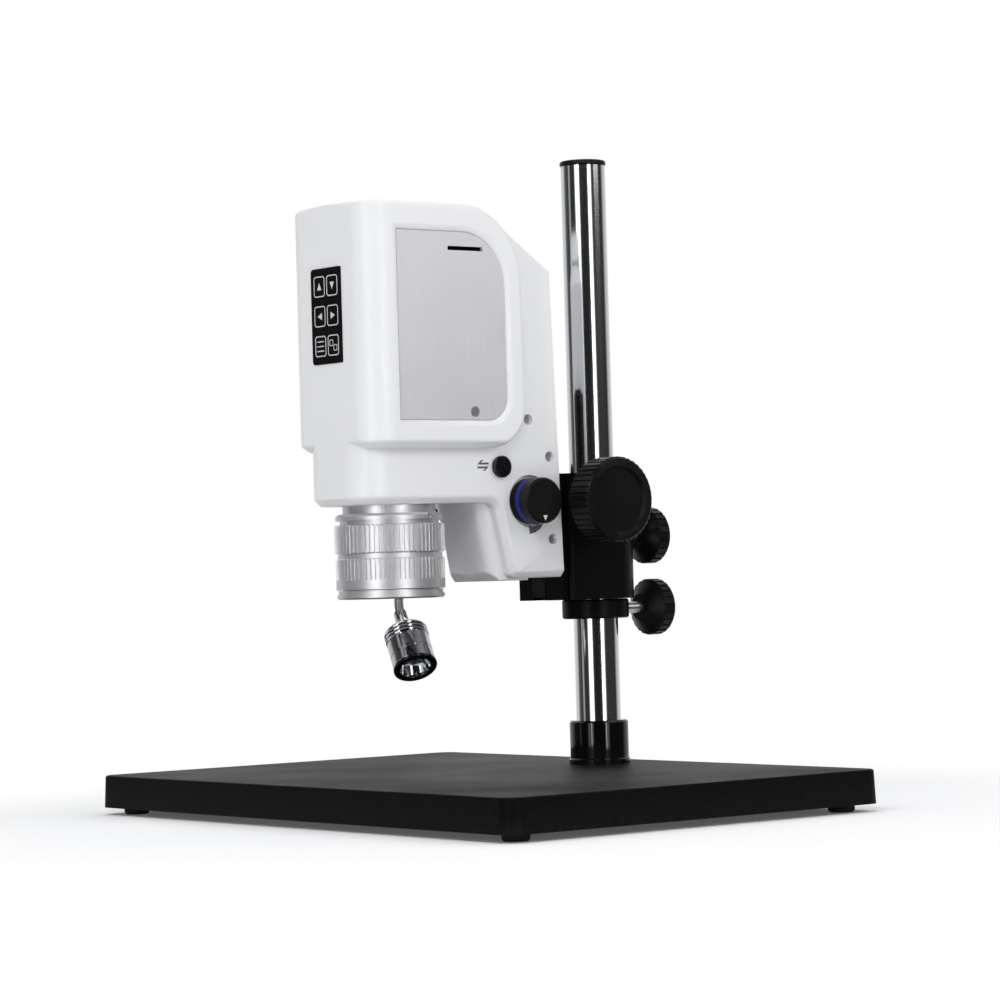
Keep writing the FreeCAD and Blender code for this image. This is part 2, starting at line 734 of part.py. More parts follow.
def slide():
    """Slide plate on the back of the head, its dovetail tongue and the rack."""
    half, thick = size("slide_wide") / 2, size("slide_thick")
    low = body_low + size("slide_low")
    back = guide_front - gap
    plate = box("slide_plate", 2 * half, thick, size("slide_long"), -half, back - thick, low)
    neck = size("groove_neck") / 2 - gap
    wide = size("groove_wide") / 2 - gap
    lip = size("groove_lip")
    root = guide_front + lip + gap * 0.4
    tooth = size("pinion_pitch") * 2 / size("pinion_teeth")
    pitch_line = pinion_y - size("pinion_pitch")
    rack_back = pitch_line - tooth * 1.25
    tongue_back = rack_back - 1.5
    tongue_low = body_low + 2
    tongue = prism("slide_tongue", [(-neck, back), (neck, back), (neck, root),
                                    (wide, root + (wide - neck)), (wide, tongue_back),
                                    (-wide, tongue_back), (-wide, root + (wide - neck)),
                                    (-neck, root)], size("tongue_long"), z=tongue_low)
    threads = [cylinder(f"slide_thread_{index}", size("slide_screw"), size("slide_bite") + 1,
                        y=back - thick - 1, z=height, turn=ALONG_Y)
               for index, height in enumerate(slide_screw_heights(), start=1)]
    node("dovetail_slide", cut("dovetail_slide", fuse("slide_blank", plate, tongue), *threads))
    rack_half = size("rack_wide") / 2
    # Rack teeth at the pinion's circular pitch, one tooth level with the pinion axis
    step = 2 * math.pi * float(size("pinion_pitch")) / DIMENSIONS["pinion_teeth"]
    low_z = float(tongue_low) + 1
    high_z = low_z + float(size("tongue_long")) - 2
    height = float(tooth)
    tip = float(pitch_line) + height * 0.9
    floor = float(rack_back)
    first = math.ceil((low_z - float(pinion_z)) / step + 0.5)
    last = math.floor((high_z - float(pinion_z)) / step - 0.5)
    places = [Vector(float(tongue_back), low_z, 0), Vector(floor, low_z, 0)]
    for index in range(first, last + 1):
        centre = float(pinion_z) + index * step
        for offset, reach in ((-0.35, floor), (-0.13, tip), (0.13, tip), (0.35, floor)):
            places.append(Vector(reach, centre + offset * step, 0))
    places += [Vector(floor, high_z, 0), Vector(float(tongue_back), high_z, 0)]
    rack = doc.addObject("Part::Feature", "rack")
    face = Part.Face(Part.makePolygon(places + places[:1]))
    rack.Shape = face.extrude(Vector(0, 0, 2 * float(rack_half)))
    node("rack", seat(rack, -rack_half, turn=SIDEWAYS))


def main_outline(inset=0.0):
    """Side outline of the head's narrow part, counted from the lens axis and the base."""
    front = -size("head_front") + inset
    top = size("head_top") - inset
    low = size("head_low") + inset
    # The slanted faces move in by the inset along Y and Z
    return [(front, low), (size("leg_front_high") - 2 + inset, low),
            (size("leg_front_low") + inset, size("leg_low") + inset),
            (size("back_low") - inset, size("leg_low") + inset),
            (size("back_high") - inset, size("back_top") - inset * 0.6),
            (size("roof_end") - inset * 0.4, top), (front, top)]


def pod_outline(inset=0.0):
    """Side outline of the raised side boxes."""
    front = -size("head_front") + inset
    low = size("pod_low") + inset
    top = size("head_top") - inset
    return [(front, low), (size("pod_back_low") - inset, low),
            (size("pod_back_high") - inset, top), (front, top)]


def panel_outline(inset=0.0):
    """Side outline of the sunk panel: square in front, round behind."""
    return [(size("panel_front") + inset, size("panel_low") + inset),
            (size("panel_back") - inset, size("panel_low") + inset),
            (size("panel_back") - inset, size("panel_high") - inset),
            (size("panel_front") + inset, size("panel_high") - inset)]


def panel_block(name, inset, thick, x):
    """A block with the panel's outline."""
    outline = panel_outline(inset)
    block = prism(name, outline, thick, x, turn=SIDEWAYS)
    dress(block, "Fillet", size("panel_arc") - inset, upright_at(outline[2]))
    dress(block, "Fillet", size("panel_arc_low") - inset, upright_at(outline[1]))
    return block


def main_block(name, half, inset=0.0):
    """The head's narrow part as a solid, with its front corners and edges dressed."""
    outline = main_outline(inset)
    block = prism(name, outline, 2 * half, -half, turn=SIDEWAYS)
    dress(block, "Fillet", size("leg_corner"), upright_at(outline[2]))
    dress(block, "Fillet", size("leg_fillet"), upright_at(outline[1]))
    dress(block, "Fillet", size("wedge_corner"), upright_at(outline[4]))
    dress(block, "Fillet", size("roof_corner"), upright_at(outline[5]))
    front = float(outline[0][0])
    corner = size("head_corner") - inset
    dress(block, "Fillet", corner, standing_at(front))
    return block


def standing_at(front):
    """Edges of a sideways block that stand up at one depth."""
    def test(edge):
        span = edge.BoundBox
        return abs(span.XMin - front) < 1e-3 and abs(span.XMax - front) < 1e-3 and span.YLength > 5
    return test


def head_solid():
    """Outside of the head: narrow part, raised boxes on both sides and the inner leg."""
    half, bevel = size("head_half"), size("head_bevel")
    block = main_block("head_main", half)
    low, front = float(size("head_low")), -float(size("head_front"))
    thick = 2 * float(half)

    def lower_sides(edge):
        span = edge.BoundBox
        side = span.ZLength < 1e-3 and min(abs(span.ZMin), abs(span.ZMax - thick)) < 1e-3
        below = span.YMin < low + 12 and span.YMax < low + 12
        corner = abs(span.YMin - low) < 1e-3 and abs(span.YMax - low) < 1e-3
        return (side and below) or (corner and span.XMax < front + 30)

    dress(block, "Chamfer", bevel, lower_sides)
    return fuse("head_outside", block, pods(), spine_block("head_spine", 0.0))


def pods():
    """Raised boxes on both sides: a side outline and a plan outline that share their space."""
    half, edge = size("pod_half"), size("head_edge")
    outline = pod_outline()
    flank = prism("pod_flank", outline, 2 * half, -half, turn=SIDEWAYS)
    dress(flank, "Fillet", size("pod_arc_high"), upright_at(outline[2]))
    dress(flank, "Fillet", size("pod_arc_low"), upright_at(outline[1]))
    thick = 2 * float(half)

    def rims(edge_shape):
        span = edge_shape.BoundBox
        return span.ZLength < 1e-3 and min(abs(span.ZMin), abs(span.ZMax - thick)) < 1e-3

    dress(flank, "Chamfer", edge, rims)
    front, back = -size("head_front"), size("pod_back_low") + 40
    tall = size("head_top") - size("pod_low")
    corners = [(-half, front), (half, front), (half, back), (-half, back)]
    plan = prism("pod_plan", corners, tall, z=size("pod_low"))
    dress(plan, "Fillet", size("pod_corner"), upright_at(*corners[:2]))
    dress(plan, "Chamfer", edge, level_at(tall, lambda span: span.YMin < float(back) - 1))
    bevel = dress(plan, "Chamfer", size("pod_bevel"),
                  level_at(0.0, lambda span: span.YMin < float(back) - 1))
    bevel.ChamferType = "Two distances"
    bind(bevel, Size2=size("pod_bevel_wide"))
    return common("head_pods", flank, plan)


def spine_block(name, inset):
    """Inner leg between the side walls, round-cornered and closed below."""
    half = size("spine_half") - inset
    ahead = size("spine_ahead")
    low = size("spine_low") + inset
    top = size("head_low") + size("head_bevel")
    front_high = size("leg_front_high") - ahead + inset
    front_low = size("leg_front_low") - ahead + inset
    outline = [(front_low, low), (size("leg_front_low") + 20, low),
               (size("leg_front_low") + 20, top), (front_high - 1, top)]
    block = prism(name, outline, 2 * half, -half, turn=SIDEWAYS)
    dress(block, "Chamfer", size("spine_toe") * 0.6, upright_at(outline[0]))
    first = (float(outline[0][0]), float(outline[0][1]))
    high = (float(outline[3][0]), float(outline[3][1]))
    slope = (high[0] - first[0]) / (high[1] - first[1])

    def front_sides(edge):
        span = edge.BoundBox
        if span.ZLength > 1e-3 or span.YLength < 12:
            return False
        middle = (span.YMin + span.YMax) / 2
        expected = first[0] + slope * (middle - first[1])
        return abs((span.XMin + span.XMax) / 2 - expected) < 0.5

    dress(block, "Fillet", size("spine_corner") - inset, front_sides)
    return block


# Turn of the lens set screw from the right-hand side
SET_SCREW_TURN = 13.0
SCREW_PLACES = ((88.7, 228.6), (105.6, 204.3), (106.6, 150.5))


def housing():
    """Two moulded halves of the head that meet on its middle plane, with all their openings."""
    wall, half, pod_half = size("shell_wall"), size("head_half"), size("pod_half")
    reach = pod_half - size("panel_sunk") - size("panel_thick") - wall
    inset = size("pod_corner") * 0.5
    outline = pod_outline(inset)
    pod_hollow = prism("hollow_pod", outline, 2 * reach, -reach, turn=SIDEWAYS)
    dress(pod_hollow, "Fillet", size("pod_arc_high") - inset, upright_at(outline[2]))
    dress(pod_hollow, "Fillet", size("pod_arc_low") - inset, upright_at(outline[1]))
    hollow = fuse("head_hollow", main_block("hollow_main", half - wall, wall), pod_hollow,
                  spine_block("hollow_spine", wall))
    shell = cut("head_shell", head_solid(), hollow)
    inside = []
    cup = size("dial_well") + wall * 0.8
    cup_deep = size("dial_well_deep") + wall
    for side, name, turn in ((1, "right", ALONG_X), (-1, "left", ALONG_MINUS_X)):
        inside.append(panel_block(f"backing_{name}", -4, wall, side * (reach + wall / 2) - wall / 2))
        inside.append(cylinder(f"dial_cup_{name}", cup, cup_deep, side * (half - cup_deep),
                               size("dial_out"), size("dial_up"), turn))
    for index, (out, up) in enumerate(SCREW_PLACES, start=1):
        inside.append(cylinder(f"screw_boss_{index}", size("screw_boss"), 2 * (half - wall / 2),
                               wall / 2 - half, out, up, ALONG_X))
    body = cut("head_open", fuse("head_bossed", shell, *inside), *front_openings(),
               *side_openings(), *rear_openings())
    rim = doc.addObject("Part::Chamfer", "head_rimmed")
    rim.Base = body
    doc.recompute()
    width = DIMENSIONS["panel_bevel"]
    rim.Edges = [(index, width, width) for index, edge in enumerate(body.Shape.Edges, start=1)
                 if on_panel_rim(edge)]
    big = 2 * size("head_top")
    left_space = box("left_space", big, big, big, -big, -big / 2)
    right_space = box("right_space", big, big, big, 0, -big / 2)
    node("right_shell", cut("right_shell", rim, left_space))
    node("left_shell", cut("left_shell", rim, right_space))


def on_panel_rim(edge):
    """Whether an edge is part of the outer rim of a sunk panel."""
    span = edge.BoundBox
    flat = abs(span.XMin - span.XMax) < 1e-3 and abs(abs(span.XMin) - DIMENSIONS["pod_half"]) < 1e-3
    along = span.YMin > DIMENSIONS["panel_front"] - 1 and span.YMax < DIMENSIONS["panel_back"] + 1
    up = span.ZMin > DIMENSIONS["panel_low"] - 1 and span.ZMax < DIMENSIONS["panel_high"] + 1
    return flat and along and up


def front_openings():
    """Keypad seat and the opening for its keys, the lens and the lamp socket below."""
    low, front = size("head_low"), -size("head_front")
    lens = cylinder("lens_opening", size("neck_radius") + slip, 20, z=low - 5)
    lamp_hole = cylinder("lamp_hole", size("socket_thread") + slip, 20, size("neck_root_out"),
                         size("neck_root_back"), low - 5)
    wide = size("key_pitch_wide") + size("key_wide") + 2 * size("key_gap")
    tall = 2 * size("key_pitch_tall") + size("key_tall") + 2 * size("key_gap")
    keys = box("key_opening", wide, 20, tall, -wide / 2, front - 10, size("pad_centre") - tall / 2)
    wide, tall = size("pad_wide") + 2 * slip, size("pad_tall") + 2 * slip
    deep = size("pad_thick") - size("pad_proud")
    pad = box("pad_seat", wide, 10 + deep, tall, -wide / 2, front - 10,
              size("pad_centre") - tall / 2)
    return [lens, lamp_hole, keys, pad]


def side_openings():
    """Panel recesses, dial wells, screw wells, the latch hole and the card opening."""
    half, pod_half, wall = size("head_half"), size("pod_half"), size("shell_wall")
    depth = size("panel_sunk") + size("panel_thick")
    well = size("dial_well_deep")
    tools = []
    for side, name, turn in ((1, "right", ALONG_X), (-1, "left", ALONG_MINUS_X)):
        start = pod_half - depth if side > 0 else -pod_half - 1
        tools.append(panel_block(f"recess_{name}", -slip, depth + 1, start))
        tools.append(cylinder(f"dial_well_{name}", size("dial_well"), well + 10,
                              side * (half - well), size("dial_out"), size("dial_up"), turn))
    tools.append(cylinder("dial_shaft_hole", size("dial_shaft") + 0.1, 2 * half, -half,
                          size("dial_out"), size("dial_up"), ALONG_X))
    tools.append(cylinder("latch_hole", size("latch_pin") + slip, half, 0, size("latch_out"),
                          size("latch_up"), ALONG_X))
    for index, (out, up) in enumerate(SCREW_PLACES, start=1):
        tools.append(cylinder(f"screw_well_{index}", size("screw_hole"), 8, half - 5, out, up,
                              ALONG_X))
        tools.append(cylinder(f"screw_shank_hole_{index}", size("screw_shank") + 0.1,
                              2 * half - wall - 2, -half + wall + 3, out, up, ALONG_X))
    spare = 1.0
    tools.append(box("card_opening", 12, size("card_back") - size("card_front") + spare,
                     size("card_gap") + spare, pod_half - depth - 6, size("card_front") - spare / 2,
                     card_height() - (size("card_gap") + spare) / 2))
    return tools


def rear_openings():
    """Opening for the slide, and the ones for the sockets in the slanted back."""
    half = size("slide_wide") / 2 + gap
    front = guide_front - size("slide_thick") - 2 * gap
    low = body_low + size("slide_low") - gap
    tools = [box("slide_opening", 2 * half, 40, size("slide_long") + 2 * gap, -half, front, low)]
    for name, across, wide, tall in SOCKETS:
        tools.append(wedge_box(f"{name}_opening", across, wide + 0.6, tall + 0.6, -4, 10))
    return tools


# Sockets in the slanted back: name, place across, width and height
SOCKETS = (("video_socket", -15.0, 15.0, 5.6), ("memory_socket", 6.0, 13.2, 5.8),
           ("power_socket", 22.0, 9.0, 9.0))


def wedge_box(name, across, wide, tall, low, deep):
    """A box square to the slanted back, from a depth below its surface outwards."""
    rise = DIMENSIONS["back_top"] - DIMENSIONS["head_top"]
    run = DIMENSIONS["back_high"] - DIMENSIONS["roof_end"]
    slope = Rotation(Vector(1, 0, 0), math.degrees(math.atan2(rise, run)))
    share = 0.6
    centre = Vector(across, DIMENSIONS["roof_end"] + share * run,
                    DIMENSIONS["head_top"] + share * rise)
    corner = centre + slope.multVec(Vector(-wide / 2, -tall / 2, low))
    return box(name, wide, tall, deep, corner.x, corner.y, corner.z, slope)


def panels():
    """Brushed panels on both sides; the right one has the card slot and a screw hole."""
    thick = size("panel_thick")
    face = size("pod_half") - size("panel_sunk")
    right = panel_block("panel_right", gap / 2, thick, face - thick)
    slot_long = size("card_back") - size("card_front")
    slot = box("card_slot", 20, slot_long, size("card_gap"), face - 10, size("card_front"),
               card_height() - size("card_gap") / 2)
    hole = cylinder("panel_hole_right", size("screw_hole"), 20, face - 10,
                    size("panel_screw_out"), size("panel_screw_up"), ALONG_X)
    node("right_panel", cut("right_panel", right, slot, hole))
    left = panel_block("panel_left", gap / 2, thick, -face)
    hole = cylinder("panel_hole_left", size("screw_hole"), 20, -face - 10,
                    size("panel_screw_out"), size("panel_screw_up"), ALONG_X)
    node("left_panel", cut("left_panel", left, hole))


def keypad():
    """Black keypad plate in front with six keys that press in, and the board behind them."""
    wide, tall, thick = size("pad_wide"), size("pad_tall"), size("pad_thick")
    face = -size("head_front") - size("pad_proud")
    half, high = wide / 2, tall / 2
    centre = size("pad_centre")
    outline = [(-half, centre - high), (half, centre - high), (half, centre + high),
               (-half, centre + high)]
    plate = prism("pad_block", outline, thick, y=face + thick, turn=FACING)
    dress(plate, "Fillet", size("pad_corner"), upright_at(*outline))
    windows = []
    names = (("key_up", -0.5, 1), ("key_down", 0.5, 1), ("key_left", -0.5, 0),
             ("key_right", 0.5, 0), ("key_menu", -0.5, -1), ("key_mode", 0.5, -1))
    for name, across, rise in names:
        x = size("key_pitch_wide") * across
        z = centre + size("key_pitch_tall") * rise
        windows.append(key_block(f"{name}_window", x, z, size("key_gap"), thick + 2, face + thick + 1))
        stem = thick + size("key_stem")
        key = key_block(f"{name}_cap", x, z, 0.0, stem, face + stem)
        node(name, key)
    node("keypad_plate", cut("keypad_plate", plate, *windows))
    board_thick = 1.6
    board_face = face + thick + size("key_stem") + size("key_travel") + gap
    node("keypad_board", box("keypad_board", wide, board_thick, tall, -half, board_face,
                             centre - high))


def key_block(name, x, z, grow, thick, back):
    """One key or its window, round-cornered, from a back plane towards the front."""
    half, high = size("key_wide") / 2 + grow, size("key_tall") / 2 + grow
    outline = [(x - half, z - high), (x + half, z - high), (x + half, z + high),
               (x - half, z + high)]
    block = prism(name, outline, thick, y=back, turn=FACING)
    dress(block, "Fillet", size("key_corner") + grow, upright_at(*outline))
    return block


def side_controls():
    """Dials with a coloured band on both ends of one shaft, and the slotted latch."""
    half = size("head_half")
    floor = half - size("dial_well_deep")
    radius = size("dial_radius")
    shaft = size("dial_shaft")
    low, high = size("dial_band_low"), size("dial_band_high")
    outer = size("dial_face")
    start = floor + gap
    bands = []
    for side, name, turn in ((1, "right", ALONG_X), (-1, "left", ALONG_MINUS_X)):
        body = [(shaft, 0), (radius - 0.8, 0), (radius, 0.8), (radius, low - start),
                (radius - 0.5, low - start), (radius - 0.5, high - start),
                (radius, high - start), (radius, outer - start - 1.2),
                (radius - 1.2, outer - start), (0, outer - start), (0, outer - start - 4),
                (shaft, outer - start - 4)]
        node(f"dial_{name}", turned(f"dial_{name}", body, side * start, size("dial_out"),
                                    size("dial_up"), turn))
        band = [(radius - 0.5, 0), (radius + 0.2, 0), (radius + 0.2, high - low),
                (radius - 0.5, high - low)]
        bands.append(turned(f"dial_band_{name}", band, side * low, size("dial_out"),
                            size("dial_up"), turn))
    node("dial_bands", fuse("dial_bands", *bands))
    reach = outer - 4
    node("dial_shaft", cylinder("dial_shaft", shaft, 2 * reach, -reach, size("dial_out"),
                                size("dial_up"), ALONG_X))
    sensor = box("sensor_block", 14, 20, 22, -7, size("dial_out") - 10, size("dial_up") - 8)
    hole = cylinder("sensor_hole", shaft + slip, 30, -15, size("dial_out"), size("dial_up"), ALONG_X)
    node("dial_sensor", cut("dial_sensor", sensor, hole))
    knob = size("latch_radius")
    proud = size("latch_proud")
    pin = [(0, 0), (size("latch_pin"), 0), (size("latch_pin"), 10), (knob, 10), (knob, 10 + proud - 0.6),
           (knob - 0.6, 10 + proud), (0, 10 + proud)]
    turn_piece = turned("latch_form", pin, half + gap - 10, size("latch_out"), size("latch_up"),
                        ALONG_X)
    slot = box("latch_slot", 10, 2 * knob + 2, size("latch_slot"), half + gap + proud - 1.2,
               size("latch_out") - knob - 1, size("latch_up") - size("latch_slot") / 2)
    node("latch_knob", cut("latch_knob", turn_piece, slot))


def chassis():
    """Inner frame: a deck that carries the lens and a flange that is screwed to the slide."""
    deck_top, thick = size("deck_high"), size("deck_thick")
    half, front = size("deck_half"), -size("deck_ahead")
    slide_front = guide_front - gap - size("slide_thick")
    flange, tall = size("post_thick"), size("post_tall")
    back = slide_front - flange
    deck = box("deck", 2 * half, back + 1 - front, thick, -half, front, deck_top - thick)
    post_half = size("slide_wide") / 2 - 2
    post = box("post", 2 * post_half, flange, tall, -post_half, back, size("post_low"))
    bore = cylinder("deck_bore", size("tube_radius") + slip, 30, z=deck_top - 20)
    lamp_gap = cylinder("deck_lamp_gap", size("socket_thread") + 2, 30, size("neck_root_out"),
                        size("neck_root_back"), deck_top - 20)
    sensor_gap = box("post_gap", 15, size("sensor_room"), 23, -7.5, size("dial_out") - 10.5,
                     size("dial_up") - 8.5)
    holes = [cylinder(f"post_hole_{index}", size("slide_screw") + slip, flange + 2, y=back - 1,
                      z=height, turn=ALONG_Y)
             for index, height in enumerate(slide_screw_heights(), start=1)]
    node("chassis", cut("chassis", fuse("chassis_blank", deck, post), bore, lamp_gap, sensor_gap,
                        *holes))


def slide_screw_heights():
    """Heights of the two screws that hold the inner frame to the slide."""
    return [size("post_low") + size("post_tall") * share for share in (0.2, 0.87)]


def lens():
    """Zoom lens under the head: mount, two knurled rings, nose, glass and inner cells."""
    core, bore = size("core_radius"), size("core_bore")
    neck, flange, step = size("neck_radius"), size("flange_radius"), size("step_radius")
    high, low, ring_high = size("flange_high"), size("flange_low"), size("ring_high")
    nose_high, nose_low = size("nose_high"), size("nose_low")
    deck_low = size("deck_high") - size("deck_thick")
    profile = [(bore, nose_high), (core, nose_high), (core, ring_high), (step, ring_high),
               (step, low), (flange, low), (flange, high - 1.6), (flange - 1.6, high),
               (neck, high), (neck, deck_low), (bore, deck_low)]
    mount = turned("mount_form", profile)
    set_hole = cylinder("set_hole", size("screw_shank") + slip, 40, z=(high + low) / 2,
                        turn=Rotation(Vector(0, 0, 1), SET_SCREW_TURN).multiply(ALONG_X))
    node("lens_mount", cut("lens_mount", mount, set_hole))
    knurl, deep = size("knurl_radius"), size("knurl_deep")
    upper_low = size("upper_low")
    top = ring_high - gap
    edge = 0.8
    rough = fluted("upper_flutes", knurl, deep, size("knurl_count"), top - upper_low, z=upper_low)
    form = turned("upper_form", [(core + slip, upper_low), (knurl - edge, upper_low),
                                 (knurl, upper_low + edge), (knurl, top - edge),
                                 (knurl - edge, top), (core + slip, top)])
    node("upper_ring", common("upper_ring", rough, form))
    lower, collar_high = size("lower_low"), upper_low - gap
    radius = size("lower_radius")
    band_high = size("lower_high")
    rough = fluted("lower_flutes", radius, deep, size("knurl_count"), band_high - lower, z=lower)
    form = turned("lower_form", [(core + slip, lower), (radius, lower),
                                 (radius, band_high - edge), (radius - edge, band_high),
                                 (core + slip, band_high)])
    bottom = nose_high + gap
    plain = turned("lower_plain", [(core + slip, bottom), (radius - 0.5, bottom),
                                   (radius, bottom + 0.5), (radius, lower), (core + slip, lower)])
    collar = turned("lower_collar", [(core + slip, band_high), (radius - 1.4, band_high),
                                     (radius - 1.4, collar_high), (core + slip, collar_high)])
    node("lower_ring", fuse("lower_ring", common("lower_knurl", rough, form), plain, collar))
    nose = [(size("nose_bore"), nose_low), (radius - 1.4, nose_low), (radius - 0.4, nose_low + 1),
            (radius - 0.4, nose_low + 3), (radius - 1.4, nose_low + 3), (radius - 1.4, nose_high),
            (bore, nose_high), (bore, nose_low + 3), (size("nose_bore"), nose_low + 3)]
    node("nose_ring", turned("nose_ring", nose))
    cell_low, cell_tall = size("cell_low"), size("cell_tall")
    glass = bore - 3.5
    cell = [(glass - 1.5, 0), (bore - slip, 0), (bore - slip, cell_tall), (glass, cell_tall),
            (glass, 2), (glass - 1.5, 2)]
    node("front_cell", turned("front_cell", cell, z=cell_low))
    node("front_glass", lens_glass("front_glass", glass - slip, 6.0, cell_low + 2))
    tube, tube_wall, tube_top = size("tube_radius"), size("tube_wall"), size("tube_top")
    inner = tube - tube_wall
    tube_low = deck_low - 20
    node("lens_tube", turned("lens_tube", [(inner, tube_low), (tube, tube_low), (tube, tube_top),
                                           (inner - 6, tube_top), (inner - 6, tube_top - 2),
                                           (inner, tube_top - 2)]))
    zoom_low = size("deck_high") + 24
    zoom = [(inner - 4.5, 0), (inner - slip, 0), (inner - slip, 18), (inner - 3, 18),
            (inner - 3, 2), (inner - 4.5, 2)]
    node("zoom_cell", turned("zoom_cell", zoom, z=zoom_low))
    node("zoom_glass", lens_glass("zoom_glass", inner - 3 - slip, 5.0, zoom_low + 2))
    board = box("camera_square", 38, 38, 1.6, -19, -19, tube_top + 4)
    chip = box("camera_chip", 14, 12, 4, -7, -6, tube_top)
    node("camera_board", fuse("camera_board", board, chip))


def lens_glass(name, radius, thick, z):
    """A lens whose two faces bulge in facets."""
    steps = ((0.0, 0.0), (0.6, 0.12), (1.0, 0.36))
    low = [(radius * share, thick * rise) for share, rise in steps]
    high = [(radius * share, thick * (1 - rise)) for share, rise in reversed(steps)]
    return turned(name, low + high, z=z)


def boards():
    """Main board with its sockets under the slanted back, and the card socket."""
    wall = size("pod_half") - size("panel_sunk") - size("panel_thick") - size("shell_wall")
    pieces = [wedge_box("main_board_sheet", 0.0, 58.0, 30.0, -15.0, 1.6)]
    for name, across, wide, tall in SOCKETS:
        case = wedge_box(f"{name}_case", across, wide, tall, -13.4, 13.0)
        hole = wedge_box(f"{name}_hole", across, wide - 1.6, tall - 1.6, -10.0, 12.0)
        tongue = wedge_box(f"{name}_tongue", across, wide * 0.7, tall * 0.28, -11.0, 9.0)
        pieces += [cut(name, case, hole), tongue]
    node("main_board", fuse("main_board", *pieces))
    tall, long = 4.0, size("card_back") - size("card_front") + 4
    socket = box("socket_case", 22, long, tall, wall - 23, size("card_front") - 2,
                 card_height() - tall / 2)
    slot = box("socket_slot", 20, long - 4, size("card_gap"), wall - 20, size("card_front"),
               card_height() - size("card_gap") / 2)
    board = box("socket_board", size("card_board"), long + 10, 1.6, wall - 35, size("card_front") - 7,
                card_height() - tall / 2 - 1.6)
    node("card_socket", fuse("card_socket", cut("socket_open", socket, slot), board))


def head_screws():
    """Screws through the halves, in the panels, in the lens mount and through the frame."""
    half, wall = size("head_half"), size("shell_wall")
    head, shank = size("screw_head"), size("screw_shank")
    long = 2 * half - wall - 12
    screws = []
    for index, (out, up) in enumerate(SCREW_PLACES, start=1):
        screws.append(turned(f"shell_screw_{index}",
                             [(0, 0), (shank, 0), (shank, long - 2), (head, long - 2), (head, long),
                              (0, long)], half - 3 - long, out, up, ALONG_X))
    face = size("pod_half") - size("panel_sunk") - size("panel_thick")
    for side, name, turn in ((1, "right", ALONG_X), (-1, "left", ALONG_MINUS_X)):
        screws.append(turned(f"panel_screw_{name}", [(0, 0), (head, 0), (head, 1.2), (0, 1.2)],
                             side * face, size("panel_screw_out"), size("panel_screw_up"), turn))
    slide_front = guide_front - gap - size("slide_thick")
    bolt, cap = size("slide_screw"), 2.6
    reach = cap + size("post_thick") + size("slide_bite")
    for index, height in enumerate(slide_screw_heights(), start=1):
        screws.append(turned(f"slide_screw_{index}",
                             [(0, 0), (head + 0.5, 0), (head + 0.5, cap), (bolt, cap),
                              (bolt, reach), (0, reach)],
                             0, slide_front - size("post_thick") - cap, height, ALONG_Y))
    along = Rotation(Vector(0, 0, 1), SET_SCREW_TURN).multiply(ALONG_X)
    start = size("core_bore") + 0.5
    screws.append(cylinder("lens_set_screw", shank, size("flange_radius") - 1 - start,
                           start * math.cos(math.radians(SET_SCREW_TURN)),
                           start * math.sin(math.radians(SET_SCREW_TURN)),
                           (size("flange_high") + size("flange_low")) / 2, along))
    node("head_screws", fuse("head_screws", *screws))


def lamp_frame():
    """Direction in which the lamp shines and a placement whose +Z is that direction."""
    turn = math.radians(float(size("lamp_turn")))
    tilt = math.radians(float(size("lamp_tilt")))
    aim = Vector(math.sin(tilt) * math.cos(turn), -math.sin(tilt) * math.sin(turn),
                 -math.cos(tilt))
    return aim, Rotation(Vector(0, 0, 1), aim)


